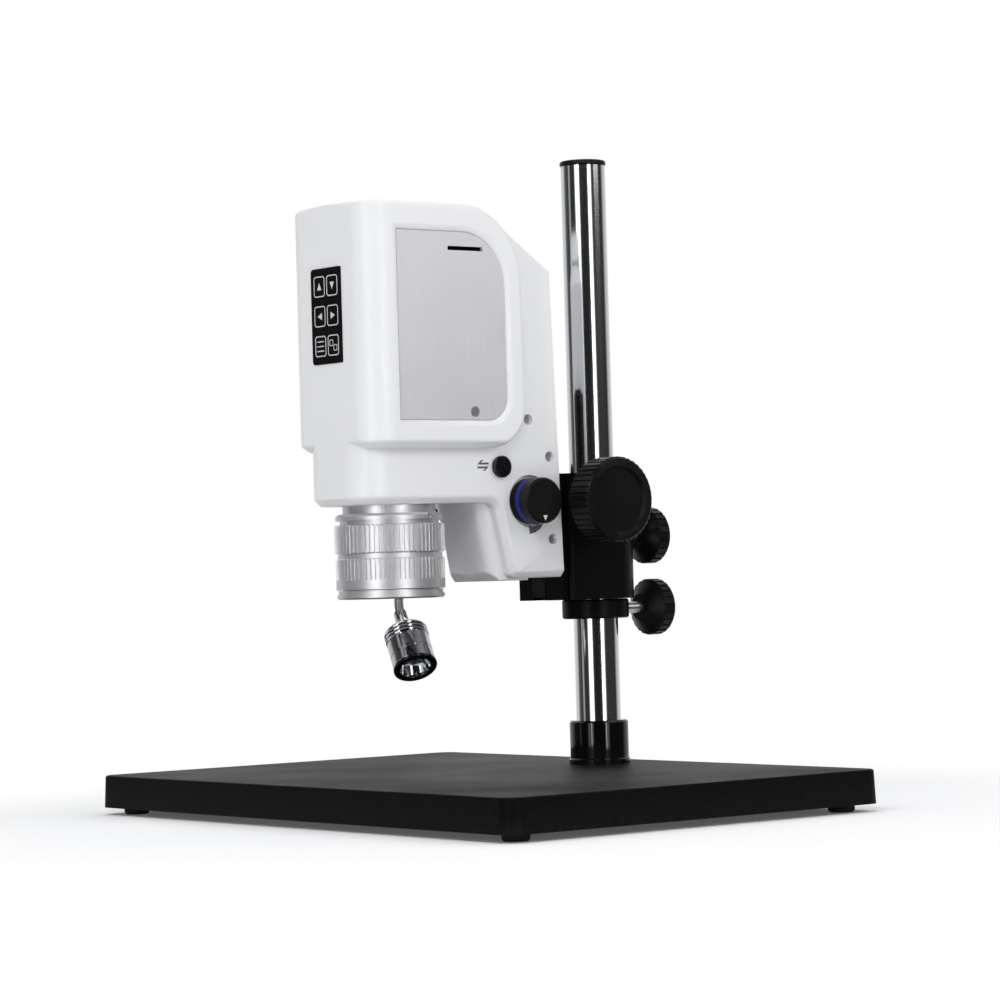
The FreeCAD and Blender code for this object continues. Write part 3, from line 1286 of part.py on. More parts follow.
def lamp():
    """LED lamp: ferrule, housing, black face ring, window and board, on a ribbed gooseneck."""
    aim, turn = lamp_frame()
    face = Vector(DIMENSIONS["lamp_face_out"], DIMENSIONS["lamp_face_back"],
                  DIMENSIONS["lamp_face_up"])
    radius, long = size("lamp_radius"), size("lamp_long")
    window = size("lamp_window")
    top = face - aim * float(long)
    ring_deep = 2.0
    groove = 0.5
    steps = [(0, 0), (radius - 2.2, 0), (radius - 0.9, 0.9)]
    for index in range(3):
        start = 2.2 + 2.3 * index
        steps += [(radius - 0.4, start - 0.9), (radius - 0.4, start),
                  (radius - 0.4 - groove, start), (radius - 0.4 - groove, start + 0.7)]
    steps += [(radius, 2.2 + 2.3 * 2 + 1.4), (radius, long - ring_deep), (window + 0.6, long
              - ring_deep), (window - 2.5, long - 10), (0, long - 10)]
    node("lamp_body", turned("lamp_body", steps, top.x, top.y, top.z, turn))
    base = face - aim * ring_deep
    ring = [(window, 0), (radius, 0), (radius, ring_deep - 0.5), (radius - 0.5, ring_deep),
            (window + 0.5, ring_deep), (window, ring_deep - 0.5)]
    node("lamp_ring", turned("lamp_ring", ring, base.x, base.y, base.z, turn))
    dome = [(0, 0), (window - slip, 0), (window - slip, 1.0), (window * 0.6, 1.5), (0, 1.7)]
    node("lamp_window", turned("lamp_window", dome, base.x, base.y, base.z, turn))
    chip = face - aim * 9.9
    node("lamp_led", turned("lamp_led", [(0, 0), (4.0, 0), (4.0, 0.8), (1.8, 1.0), (1.4, 1.8),
                                         (0, 2.0)], chip.x, chip.y, chip.z, turn))
    ferrule = size("ferrule_radius")
    tall = size("ferrule_long")
    start = top - aim * float(tall)
    profile = [(size("neck_tube") + slip, 0), (ferrule - 1.2, 0), (ferrule, tall * 0.55),
               (ferrule, tall), (0, tall), (0, tall - 2), (size("neck_tube") + slip, tall - 2)]
    node("lamp_ferrule", turned("lamp_ferrule", profile, start.x, start.y, start.z, turn))
    nut = size("socket_radius")
    nut_tall, thread = size("socket_tall"), size("socket_thread")
    nut_low = size("head_low") - nut_tall
    socket = [(size("neck_tube") + slip, 0), (nut - 1, 0), (nut, 1), (nut, nut_tall),
              (thread, nut_tall), (thread, nut_tall + 6), (size("neck_tube") + slip, nut_tall + 6)]
    node("neck_socket", turned("neck_socket", socket, size("neck_root_out"),
                               size("neck_root_back"), nut_low))
    end = top - aim * 2.1
    root = Vector(DIMENSIONS["neck_root_out"], DIMENSIONS["neck_root_back"], float(nut_low) + 6)
    neck = doc.addObject("Part::Feature", "gooseneck")
    neck.Shape = ribbed_tube(root, Vector(0, 0, -1), end, aim)
    node("gooseneck", neck)


def neck_path(root, leave, end, arrive, share):
    """Point and direction on the gooseneck's line: straight at both ends, a cubic between."""
    run = 2 * DIMENSIONS["neck_tube"]
    first, last = root + leave * run, end - arrive * run
    pull = 0.42 * first.distanceToPoint(last)
    length = first.distanceToPoint(last) * 1.12
    edge = run / (length + 2 * run)
    if share < edge:
        return root + leave * (run * share / edge), leave
    if share > 1 - edge:
        return end - arrive * (run * (1 - share) / edge), arrive
    part = (share - edge) / (1 - 2 * edge)
    rest = 1 - part
    near, far = first + leave * pull, last - arrive * pull
    point = (first * rest ** 3 + near * (3 * rest ** 2 * part) + far * (3 * rest * part ** 2)
             + last * part ** 3)
    heading = ((near - first) * (3 * rest ** 2) + (far - near) * (6 * rest * part)
               + (last - far) * (3 * part ** 2))
    return point, heading.normalize()


def ribbed_tube(root, leave, end, arrive):
    """Hollow flexible neck: ribs as a ruled loft through circles along its line."""
    outer, bore = float(size("neck_tube")), float(size("neck_bore"))
    inner = outer - float(size("neck_groove"))
    ribs = int(DIMENSIONS["neck_ribs"])
    across = Vector(0, 0, 1).cross(arrive).normalize()

    def circle(share, radius):
        point, heading = neck_path(root, leave, end, arrive, share)
        side = (across - heading * across.dot(heading)).normalize()
        ring = Part.Circle(point, heading, radius)
        ring.XAxis = side
        return Part.Wire([ring.toShape()])

    rings = [circle(0.0, outer)]
    step = 1 / (ribs + 0.3)
    for rib in range(ribs):
        for share, radius in ((0.3, outer), (0.55, inner), (0.95, inner), (1.2, outer)):
            rings.append(circle(step * (rib + share), radius))
    rings.append(circle(1.0, outer))
    solid = Part.makeLoft(rings, True, True)
    spans = 8
    hole = Part.makeLoft([circle(index / spans, bore) for index in range(spans + 1)], True, True)
    return solid.cut(hole)


def export():
    """Check every object, then write one file for each sub-part."""
    doc.recompute()
    for thing in doc.Objects:
        if "Invalid" in thing.State or "Error" in thing.State:
            raise RuntimeError(f"{thing.Name} failed: {thing.State}")
    os.makedirs("parts", exist_ok=True)
    for name, thing in NODES.items():
        shape = thing.Shape
        if shape.isNull() or not shape.isValid() or not shape.Solids:
            raise RuntimeError(f"{name} is not a valid solid")
        shape.exportStep(os.path.join("parts", f"{name}.step"))
    print(f"{len(NODES)} sub-parts written")


base_plate()
feet()
column()
clamps()
focus_body()
focus_drive()
slide()
housing()
panels()
keypad()
side_controls()
chassis()
lens()
boards()
head_screws()
lamp()
export()
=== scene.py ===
import logging
import math
from collections.abc import Iterator
from contextlib import contextmanager
from dataclasses import dataclass, field
from enum import Enum
from functools import cache

import bpy
import bmesh
from mathutils import Matrix, Vector
from mathutils.bvhtree import BVHTree


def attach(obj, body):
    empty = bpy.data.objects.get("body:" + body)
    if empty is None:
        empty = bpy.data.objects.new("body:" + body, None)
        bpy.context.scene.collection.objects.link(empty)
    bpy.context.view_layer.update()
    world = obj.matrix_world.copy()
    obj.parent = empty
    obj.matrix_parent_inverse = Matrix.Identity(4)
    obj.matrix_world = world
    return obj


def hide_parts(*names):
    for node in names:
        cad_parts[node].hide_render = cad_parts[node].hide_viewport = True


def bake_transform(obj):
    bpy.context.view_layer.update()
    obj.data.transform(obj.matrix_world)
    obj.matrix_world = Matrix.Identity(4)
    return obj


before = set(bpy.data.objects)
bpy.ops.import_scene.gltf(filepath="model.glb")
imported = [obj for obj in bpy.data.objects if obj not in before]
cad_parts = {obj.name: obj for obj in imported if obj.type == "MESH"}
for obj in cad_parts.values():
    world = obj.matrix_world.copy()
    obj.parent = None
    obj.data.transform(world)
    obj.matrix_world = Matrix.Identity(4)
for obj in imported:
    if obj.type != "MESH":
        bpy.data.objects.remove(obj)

# The looks of a video microscope on a column stand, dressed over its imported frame. Metres, +Z up,
# +X to the user's right, +Y to the rear; the origin is under the lens, on the base plate.

Node = bpy.types.Node
Piece = bpy.types.Object
Socket = bpy.types.NodeSocket
Tree = bpy.types.NodeTree

LOG = logging.getLogger("microscope")
MM = 0.001
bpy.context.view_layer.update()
UP = Vector((0, 0, 1))
WHITE = (1, 1, 1, 1)
# Points nearer than these are one: in a node's mesh, and where a lathed profile meets itself.
SAME_PLACE = 0.002 * MM
SEAM = 0.0005 * MM
# Faces within FLAT_ANGLE are one plane; the other two are in degrees.
FLAT_ANGLE = math.radians(0.4)
SOFT_ANGLE = 32.0
CORNER_ANGLE = 35.0


class Glyph(Enum):
    """Symbol on a key of the keypad."""

    UP = "up"
    DOWN = "down"
    LEFT = "left"
    RIGHT = "right"
    LIST = "list"
    SWAP = "swap"


def select_only(piece: Piece) -> None:
    """Make one object the only selected and active one."""
    bpy.ops.object.select_all(action="DESELECT")
    piece.select_set(True)
    bpy.context.view_layer.objects.active = piece


def apply_place(piece: Piece) -> Piece:
    """Move an object's place and turn into its mesh.

    Args:
        piece: object to settle at the origin.

    Returns:
        The same object.
    """
    select_only(piece)
    bpy.ops.object.transform_apply(location=True, rotation=True, scale=True)
    return piece


@contextmanager
def editing(piece: Piece) -> Iterator[None]:
    """Keep an object in edit mode, at first with its whole mesh selected, while a block runs."""
    select_only(piece)
    bpy.ops.object.mode_set(mode="EDIT")
    bpy.ops.mesh.select_all(action="SELECT")
    yield
    bpy.ops.object.mode_set(mode="OBJECT")


def add_object(name: str, data: bpy.types.ID) -> Piece:
    """Put a new object with this data into the scene."""
    piece = bpy.data.objects.new(name, data)
    bpy.context.scene.collection.objects.link(piece)
    return piece


def bake_modifier(piece: Piece, modifier: bpy.types.Modifier) -> None:
    """Apply a modifier to its object's mesh."""
    select_only(piece)
    bpy.ops.object.modifier_apply(modifier=modifier.name)


def smooth(piece: Piece, angle: float = SOFT_ANGLE) -> Piece:
    """Shade an object smooth except across sharp edges.

    Args:
        piece: object to shade.
        angle: edges that turn by more degrees than this stay sharp.

    Returns:
        The same object.
    """
    select_only(piece)
    bpy.ops.object.shade_smooth_by_angle(angle=math.radians(angle))
    even = piece.modifiers.new("even", "WEIGHTED_NORMAL")
    even.keep_sharp = True
    even.weight = 80
    bake_modifier(piece, even)
    return piece


def round_edges(piece: Piece, width: float, segments: int = 2,
                angle: float = 30.0, by_weight: bool = False) -> None:
    """Round an object's edges with a bevel.

    Args:
        piece: object to round.
        width: bevel width in millimetres.
        segments: facets across each bevel.
        angle: edges that turn by more degrees than this are rounded.
        by_weight: whether only edges with a bevel weight are rounded.
    """
    bevel = piece.modifiers.new("edge", "BEVEL")
    bevel.width = width * MM
    bevel.segments = segments
    bevel.limit_method = "WEIGHT" if by_weight else "ANGLE"
    bevel.angle_limit = math.radians(angle)
    bevel.miter_outer = "MITER_ARC"
    bevel.use_clamp_overlap = not by_weight
    bake_modifier(piece, bevel)


def merge_flat(piece: Piece) -> Piece:
    """Merge triangles that lie in one plane into one face.

    Args:
        piece: object to simplify.

    Returns:
        The same object.
    """
    with editing(piece):
        bpy.ops.mesh.dissolve_limited(angle_limit=FLAT_ANGLE)
    return piece


def copy_of(node: str, name: str) -> Piece:
    """Copy a node's mesh as one merged skin.

    Args:
        node: node to copy.
        name: name of the new piece.

    Returns:
        The new object.
    """
    piece = add_object(name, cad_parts[node].data.copy())
    piece.data.materials.clear()
    with editing(piece):
        bpy.ops.mesh.remove_doubles(threshold=SAME_PLACE)
    return piece


def lathe(name: str, profile: list[tuple[float, float]], place: tuple[float, float, float],
          axis: Vector = UP, steps: int = 96, closed: bool = False) -> Piece:
    """Turn a profile about an axis.

    Args:
        name: name of the new piece.
        profile: radius and height pairs in millimetres, in order.
        place: where height 0 lies on the axis, in millimetres.
        axis: direction of rising height.
        steps: facets round the axis.
        closed: whether the profile's end joins its start, as on a ring.

    Returns:
        The new object.
    """
    bpy.ops.object.select_all(action="DESELECT")
    bpy.ops.mesh.primitive_plane_add(size=0.001)
    piece = bpy.context.object
    piece.name = name
    with editing(piece):
        bpy.ops.mesh.merge(type="CENTER")
        bpy.ops.transform.translate(value=(profile[0][0] * MM, 0, profile[0][1] * MM))
        for (radius, height), (next_radius, next_height) in zip(profile, profile[1:]):
            shift = ((next_radius - radius) * MM, 0, (next_height - height) * MM)
            bpy.ops.mesh.extrude_region_move(TRANSFORM_OT_translate={"value": shift})
    if closed:
        shape = bmesh.new()
        shape.from_mesh(piece.data)
        shape.edges.new([vertex for vertex in shape.verts if len(vertex.link_edges) == 1])
        shape.to_mesh(piece.data)
        shape.free()
    with editing(piece):
        bpy.ops.mesh.spin(steps=steps, angle=math.tau, center=(0, 0, 0), axis=(0, 0, 1))
        bpy.ops.mesh.select_all(action="SELECT")
        bpy.ops.mesh.remove_doubles(threshold=SEAM)
        bpy.ops.mesh.normals_make_consistent(inside=False)
    piece.rotation_mode = "QUATERNION"
    piece.rotation_quaternion = axis.to_track_quat("Z", "Y")
    piece.location = Vector(place) * MM
    return apply_place(piece)


def as_mesh(name: str, curve: bpy.types.Curve, lines: list[list[tuple[float, ...] | Vector]],
            loops: bool) -> Piece:
    """Draw straight lines into a curve and make a mesh object of it.

    Args:
        name: name of the new piece.
        curve: empty curve with its width already set.
        lines: points of each line, in millimetres.
        loops: whether each line joins its own start.

    Returns:
        The new mesh object.
    """
    for line in lines:
        spline = curve.splines.new("POLY")
        spline.points.add(len(line) - 1)
        for item, point in zip(spline.points, line):
            item.co = (*(Vector(point).to_3d() * MM), 1)
        spline.use_cyclic_u = loops
    select_only(add_object(name, curve))
    bpy.ops.object.convert(target="MESH")
    return bpy.context.object


def flat_mark(name: str, outlines: list[list[tuple[float, float]]], thick: float,
              matrix: Matrix) -> Piece:
    """A thin raised mark from closed outlines.

    Args:
        name: name of the new piece.
        outlines: closed outlines in millimetres; an outline inside another is a hole.
        thick: height above the surface in millimetres.
        matrix: place of the mark, whose +Z points out of the surface.

    Returns:
        The new object.
    """
    curve = bpy.data.curves.new(name, "CURVE")
    curve.dimensions = "2D"
    curve.fill_mode = "BOTH"
    curve.extrude = thick / 2 * MM
    piece = as_mesh(name, curve, outlines, loops=True)
    piece.matrix_world = matrix @ Matrix.Translation((0, 0, thick / 2 * MM))
    return apply_place(piece)


def rounded(wide: float, tall: float, radius: float, x: float = 0.0, y: float = 0.0,
            steps: int = 5) -> list[tuple[float, float]]:
    """Outline of a rectangle with round corners.

    Args:
        wide: width.
        tall: height.
        radius: corner radius.
        x: centre across.
        y: centre up.
        steps: facets in each corner.

    Returns:
        The outline's points.
    """
    points = []
    for quarter, (across, up) in enumerate(((1, 1), (-1, 1), (-1, -1), (1, -1))):
        for step in range(steps + 1):
            angle = math.radians(90 * (quarter + step / steps))
            points.append((x + across * (wide / 2 - radius) + radius * math.cos(angle),
                           y + up * (tall / 2 - radius) + radius * math.sin(angle)))
    return points


def feed(tree: Tree, value: Socket | float | tuple, socket: Socket) -> None:
    """Link an output to an input, or set a plain value on it."""
    if isinstance(value, Socket):
        tree.links.new(value, socket)
    else:
        socket.default_value = value


def settle(tree: Tree, node: Node, **settings) -> Node:
    """Set a node's attributes and its inputs.

    Args:
        tree: tree that the node is in.
        node: node to set.
        settings: attributes in lower case, and inputs with a capital and with underscores for
            spaces, each a value or an output to link.

    Returns:
        The same node.
    """
    for name, value in settings.items():
        if name[0].islower():
            setattr(node, name, value)
        else:
            feed(tree, value, node.inputs[name.replace("_", " ")])
    return node


def new_node(tree: Tree, kind: str, **settings) -> Node:
    """Add a shader node of a kind, such as Bump, and settle it."""
    return settle(tree, tree.nodes.new(f"ShaderNode{kind}"), **settings)


def compute(tree: Tree, operation: str, *terms: Socket | float) -> Socket:
    """Output of a math node on these terms."""
    node = new_node(tree, "Math", operation=operation)
    for term, socket in zip(terms, node.inputs):
        feed(tree, term, socket)
    return node.outputs["Value"]


def vector_step(tree: Tree, operation: str, first: Socket, second: Socket | tuple) -> Node:
    """Vector math node on two terms."""
    node = new_node(tree, "VectorMath", operation=operation)
    feed(tree, first, node.inputs[0])
    feed(tree, second, node.inputs[1])
    return node


def mix_shaders(tree: Tree, factor: Socket, first: Socket, second: Socket) -> Socket:
    """Output that turns from one shader to another with the factor."""
    node = new_node(tree, "MixShader", Fac=factor)
    feed(tree, first, node.inputs[1])
    feed(tree, second, node.inputs[2])
    return node.outputs["Shader"]


def new_group(name: str, inputs: dict[str, float],
              outputs: tuple[str, ...]) -> tuple[Tree, Node, Node]:
    """Make an empty group with named number sockets.

    Args:
        name: name of the group.
        inputs: inputs with their defaults.
        outputs: outputs.

    Returns:
        The group, its input node and its output node.
    """
    group = bpy.data.node_groups.new(name, "ShaderNodeTree")
    for label, value in inputs.items():
        socket = group.interface.new_socket(label, in_out="INPUT",
                                            socket_type="NodeSocketFloat")
        socket.default_value = value
    for label in outputs:
        group.interface.new_socket(label, in_out="OUTPUT", socket_type="NodeSocketFloat")
    return group, group.nodes.new("NodeGroupInput"), group.nodes.new("NodeGroupOutput")


@cache
def grain_group() -> Tree:
    """Fine moulded or powder-coated grain with slow cloudy variation.

    Returns:
        Group with the outputs Height and Cloud.
    """
    group, start, end = new_group(
        "fine_grain", {"Scale": 900.0, "Cloud Scale": 14.0}, ("Height", "Cloud"))
    place = new_node(group, "TexCoord").outputs["Object"]
    fine = new_node(group, "TexNoise", Vector=place, Scale=start.outputs["Scale"],
                    Detail=3.0, Roughness=0.6)
    cloud = new_node(group, "TexNoise", Vector=place, Scale=start.outputs["Cloud Scale"],
                     Detail=4.0)
    settle(group, end, Height=fine.outputs["Fac"], Cloud=cloud.outputs["Fac"])
    return group


@cache
def line_group() -> Tree:
    """Fine lines from stretched noise, for brushing, turning marks and streaks.

    Returns:
        Group with the outputs Lines and Streaks.
    """
    group, start, end = new_group(
        "fine_lines", {"Along X": 1.0, "Along Y": 1.0, "Along Z": 1.0, "Scale": 1000.0},
        ("Lines", "Streaks"))
    place = new_node(group, "TexCoord").outputs["Object"]
    along = new_node(group, "CombineXYZ", X=start.outputs["Along X"],
                     Y=start.outputs["Along Y"], Z=start.outputs["Along Z"])
    drawn = vector_step(group, "MULTIPLY", place, along.outputs["Vector"]).outputs["Vector"]
    lines = new_node(group, "TexNoise", Vector=drawn, Scale=start.outputs["Scale"],
                     Detail=5.0, Roughness=0.75)
    slower = compute(group, "MULTIPLY", start.outputs["Scale"], 0.12)
    streaks = new_node(group, "TexNoise", Vector=drawn, Scale=slower, Detail=2.0)
    settle(group, end, Lines=lines.outputs["Fac"], Streaks=streaks.outputs["Fac"])
    return group


@cache
def wear_group() -> Tree:
    """Mask of worn convex edges, broken up by noise.

    Returns:
        Group with the output Mask.
    """
    group, start, end = new_group("edge_wear", {"Amount": 0.5, "Scale": 220.0}, ("Mask",))
    bulge = new_node(group, "NewGeometry").outputs["Pointiness"]
    place = new_node(group, "TexCoord").outputs["Object"]
    noise = new_node(group, "TexNoise", Vector=place, Scale=start.outputs["Scale"],
                     Detail=4.0)
    ramp = new_node(group, "MapRange", From_Min=0.52, From_Max=0.62, Value=bulge)
    broken = compute(group, "MULTIPLY", ramp.outputs["Result"], noise.outputs["Fac"])
    settle(group, end, Mask=compute(group, "MULTIPLY", broken, start.outputs["Amount"]))
    return group


@dataclass(frozen=True)
class Finish:
    """A finish: colour, gloss and the fine detail of its surface."""

    name: str
    colour: tuple[float, float, float]
    rough: float
    metal: float = 0.0
    coat: float = 0.0
    specular: float = 0.5
    cloud: float = 0.02
    cloud_scale: float = 14.0
    rough_cloud: float = 0.06
    grain: float = 0.0
    grain_scale: float = 900.0
    lines: float = 0.0
    line_stretch: tuple[float, float, float] = (1.0, 1.0, 1.0)
    line_scale: float = 1000.0
    line_bump: float = 0.0
    wear: float = 0.0
    wear_colour: tuple[float, float, float] = (0.3, 0.3, 0.3)
    anisotropic: float = 0.0
    clear: float = 0.0

    @staticmethod
    def _mixed(tree: Tree, factor: Socket, first: Socket | tuple,
               second: Socket | tuple) -> Socket:
        """Mix two colours or sockets by a factor."""
        mix = new_node(tree, "Mix", data_type="RGBA", Factor=factor)
        for label, value in (("A", first), ("B", second)):
            socket = next(item for item in mix.inputs
                          if item.name == label and item.type == "RGBA")
            feed(tree, value if isinstance(value, Socket) else (*value, 1.0), socket)
        return next(item for item in mix.outputs if item.type == "RGBA")

    @staticmethod
    def _ranged(tree: Tree, source: Socket, low: float, high: float) -> Socket:
        """Map a mask of about 0.3 to 0.7 to a range."""
        return new_node(tree, "MapRange", From_Min=0.3, From_Max=0.7, To_Min=low, To_Max=high,
                        Value=source).outputs["Result"]

    def material(self) -> bpy.types.Material:
        """Build the material, or give back the one already built.

        Returns:
            The material.
        """
        if self.name in bpy.data.materials:
            return bpy.data.materials[self.name]
        material = bpy.data.materials.new(self.name)
        material.use_nodes = True
        tree = material.node_tree
        shader = settle(tree, tree.nodes["Principled BSDF"], Metallic=self.metal,
                        Specular_IOR_Level=self.specular, Anisotropic=self.anisotropic)
        if self.coat:
            settle(tree, shader, Coat_Weight=self.coat, Coat_Roughness=0.12)
        if self.clear:
            settle(tree, shader, Transmission_Weight=self.clear, IOR=1.5,
                   Base_Color=(*self.colour, 1.0), Roughness=self.rough)
            return material
        grain = new_node(tree, "Group", node_tree=grain_group(), Scale=self.grain_scale,
                         Cloud_Scale=self.cloud_scale)
        dark = tuple(max(0.0, channel * (1 - self.cloud)) for channel in self.colour)
        light = tuple(min(1.0, channel * (1 + self.cloud)) for channel in self.colour)
        cloud = self._ranged(tree, grain.outputs["Cloud"], 0.0, 1.0)
        colour = self._mixed(tree, cloud, dark, light)
        rough = self._ranged(tree, grain.outputs["Cloud"], self.rough - self.rough_cloud,
                             self.rough + self.rough_cloud)
        height = grain.outputs["Height"] if self.grain else None
        depth = self.grain
        if self.lines:
            lines = new_node(tree, "Group", node_tree=line_group(), Scale=self.line_scale,
                             Along_X=self.line_stretch[0], Along_Y=self.line_stretch[1],
                             Along_Z=self.line_stretch[2])
            share = self._ranged(tree, lines.outputs["Lines"], 0.0, self.lines)
            deep = tuple(channel * 0.45 for channel in self.colour)
            colour = self._mixed(tree, share, colour, deep)
            rough = compute(tree, "MULTIPLY_ADD", lines.outputs["Streaks"], self.lines * 0.3,
                            rough)
            if self.line_bump:
                height, depth = lines.outputs["Lines"], self.line_bump
        if self.wear:
            wear = new_node(tree, "Group", node_tree=wear_group(), Amount=self.wear)
            colour = self._mixed(tree, wear.outputs["Mask"], colour, self.wear_colour)
        settle(tree, shader, Base_Color=colour, Roughness=rough)
        if height is not None:
            bump = new_node(tree, "Bump", Strength=1.0, Distance=depth * MM, Height=height)
            settle(tree, shader, Normal=bump.outputs["Normal"])
        return material


POWDER = Finish("black_powder_coat", (0.003, 0.003, 0.0035), 0.48, specular=0.04, grain=0.03,
                grain_scale=1500.0, cloud=0.12, cloud_scale=9.0, wear=0.25,
                wear_colour=(0.05, 0.05, 0.05))
SHELL = Finish("white_moulding", (0.80, 0.80, 0.815), 0.36, grain=0.005, grain_scale=2200.0,
               cloud=0.008, rough_cloud=0.04)
CHROME = Finish("column_chrome", (0.80, 0.81, 0.83), 0.045, metal=1.0, cloud=0.02,
                rough_cloud=0.012, lines=0.05, line_stretch=(1.0, 1.0, 0.05), line_scale=2600.0)
LAMP_CHROME = Finish("lamp_chrome", (0.62, 0.62, 0.64), 0.10, metal=1.0, cloud=0.04,
                     rough_cloud=0.02, grain=0.002, grain_scale=1800.0)
BARREL = Finish("barrel_aluminium", (0.74, 0.74, 0.76), 0.33, metal=0.82, cloud=0.03,
                rough_cloud=0.02, lines=0.08, line_stretch=(0.02, 0.02, 1.0),
                line_scale=4200.0, line_bump=0.001, anisotropic=0.6)
PANEL = Finish("brushed_panel", (0.76, 0.76, 0.78), 0.42, metal=0.55, cloud=0.03,
               cloud_scale=9.0, lines=0.16, line_stretch=(1.0, 1.0, 0.012),
               line_scale=2000.0, line_bump=0.003, anisotropic=0.3)
BLACK = Finish("black_moulding", (0.005, 0.005, 0.0055), 0.36, specular=0.12, grain=0.012,
               grain_scale=1400.0, cloud=0.2, wear=0.3, wear_colour=(0.06, 0.06, 0.065))
BLACK_PAINT = Finish("black_enamel", (0.004, 0.004, 0.0045), 0.34, specular=0.07, grain=0.008,
                     grain_scale=900.0, cloud=0.15)
GLOSS = Finish("gloss_black_lacquer", (0.004, 0.004, 0.005), 0.06, specular=0.4, cloud=0.2,
               rough_cloud=0.02, grain=0.001, grain_scale=500.0)
GUIDE = Finish("dark_anodised", (0.02, 0.02, 0.022), 0.24, metal=0.6, cloud=0.08, lines=0.25,
               line_stretch=(1.0, 1.0, 0.03), line_scale=2600.0)
LATCH = Finish("dark_nickel", (0.05, 0.05, 0.055), 0.22, metal=1.0, cloud=0.15, lines=0.4,
               line_stretch=(1.0, 0.3, 0.3), line_scale=1500.0)
STEEL = Finish("turned_steel", (0.50, 0.50, 0.52), 0.28, metal=1.0, lines=0.2,
               line_stretch=(1.0, 0.05, 0.05), line_scale=3000.0)
BRASS = Finish("bearing_bronze", (0.45, 0.36, 0.22), 0.35, metal=1.0, cloud=0.06)
RUBBER = Finish("foot_rubber", (0.012, 0.012, 0.012), 0.75, specular=0.3, grain=0.03,
                grain_scale=900.0, cloud=0.2)
BLUE = Finish("blue_band", (0.006, 0.018, 0.24), 0.4, specular=0.2, cloud=0.06)
MARK = Finish("white_print", (0.62, 0.62, 0.62), 0.5, cloud=0.03)
# Grey print of the turn mark; the same grey also paints the shade on the wall below the dial.
GREY_PRINT_AND_SHADE = Finish("grey_print_and_shade", (0.09, 0.09, 0.095), 0.5, cloud=0.05)
KEY = Finish("black_key", (0.003, 0.003, 0.0032), 0.42, specular=0.06, cloud=0.2)
BOARD = Finish("circuit_board", (0.02, 0.12, 0.05), 0.4, coat=0.3, cloud=0.1)
NECK = Finish("neck_steel", (0.46, 0.46, 0.47), 0.12, metal=1.0, cloud=0.12, rough_cloud=0.05)
NECK_CORE = Finish("neck_core", (0.012, 0.012, 0.012), 0.5, metal=0.3, cloud=0.15)
LED = Finish("led_phosphor", (0.70, 0.60, 0.22), 0.4, cloud=0.08)
GLASS = Finish("coated_glass", (0.96, 0.98, 1.0), 0.01, clear=1.0)
FRAME = Finish("frame_aluminium", (0.60, 0.61, 0.62), 0.4, metal=1.0, lines=0.15,
               line_stretch=(1.0, 0.03, 0.03), line_scale=2400.0)


def dress(piece: Piece, finish: Finish, body: str | None, slot: str,
          *stands_for: str) -> None:
    """Give a finished piece its material and body, and hide the nodes that it stands for.

    Args:
        piece: finished mesh object.
        finish: finish of the whole piece.
        body: body that the piece moves with, or None to leave it unattached.
        slot: record slot of the finish; not used.
        stands_for: nodes that the piece replaces.
    """
    piece.data.materials.clear()
    piece.data.materials.append(finish.material())
    if body:
        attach(piece, body)
    if stands_for:
        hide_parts(*stands_for)
    LOG.info("%s: %d faces", piece.name, len(piece.data.polygons))


def keep(finish: Finish, *nodes: str, bevel: float = 0.0) -> None:
    """Keep nodes as they are, merged and smoothed by live modifiers, in a new finish.

    Args:
        finish: their finish.
        nodes: nodes to dress.
        bevel: width of a live edge bevel in millimetres, or 0 for none.
    """
    for node in nodes:
        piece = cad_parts[node]
        piece.data.materials.clear()
        piece.data.materials.append(finish.material())
        for face in piece.data.polygons:
            face.use_smooth = True
        weld = piece.modifiers.new("weld", "WELD")
        weld.merge_threshold = SAME_PLACE
        if bevel:
            planar = piece.modifiers.new("planar", "DECIMATE")
            planar.decimate_type = "DISSOLVE"
            planar.angle_limit = FLAT_ANGLE
            edge = piece.modifiers.new("edge", "BEVEL")
            edge.width = bevel * MM
            edge.segments = 2
            edge.limit_method = "ANGLE"
            edge.angle_limit = math.radians(CORNER_ANGLE)
        split = piece.modifiers.new("split", "EDGE_SPLIT")
        split.split_angle = math.radians(SOFT_ANGLE)
        LOG.info("%s kept", node)


def grip(node: str, body: str, width: float, angle: float) -> None:
    """Fluted knob with rounded flutes.

    Args:
        node: knob to copy and replace.
        body: body that it moves with.
        width: bevel width in millimetres.
        angle: edges that turn by more degrees than this are rounded.
    """
    piece = merge_flat(copy_of(node, f"{node}_grip"))
    round_edges(piece, width, angle=angle)
    dress(smooth(piece, angle=40), BLACK, body, "black_plastic", node)


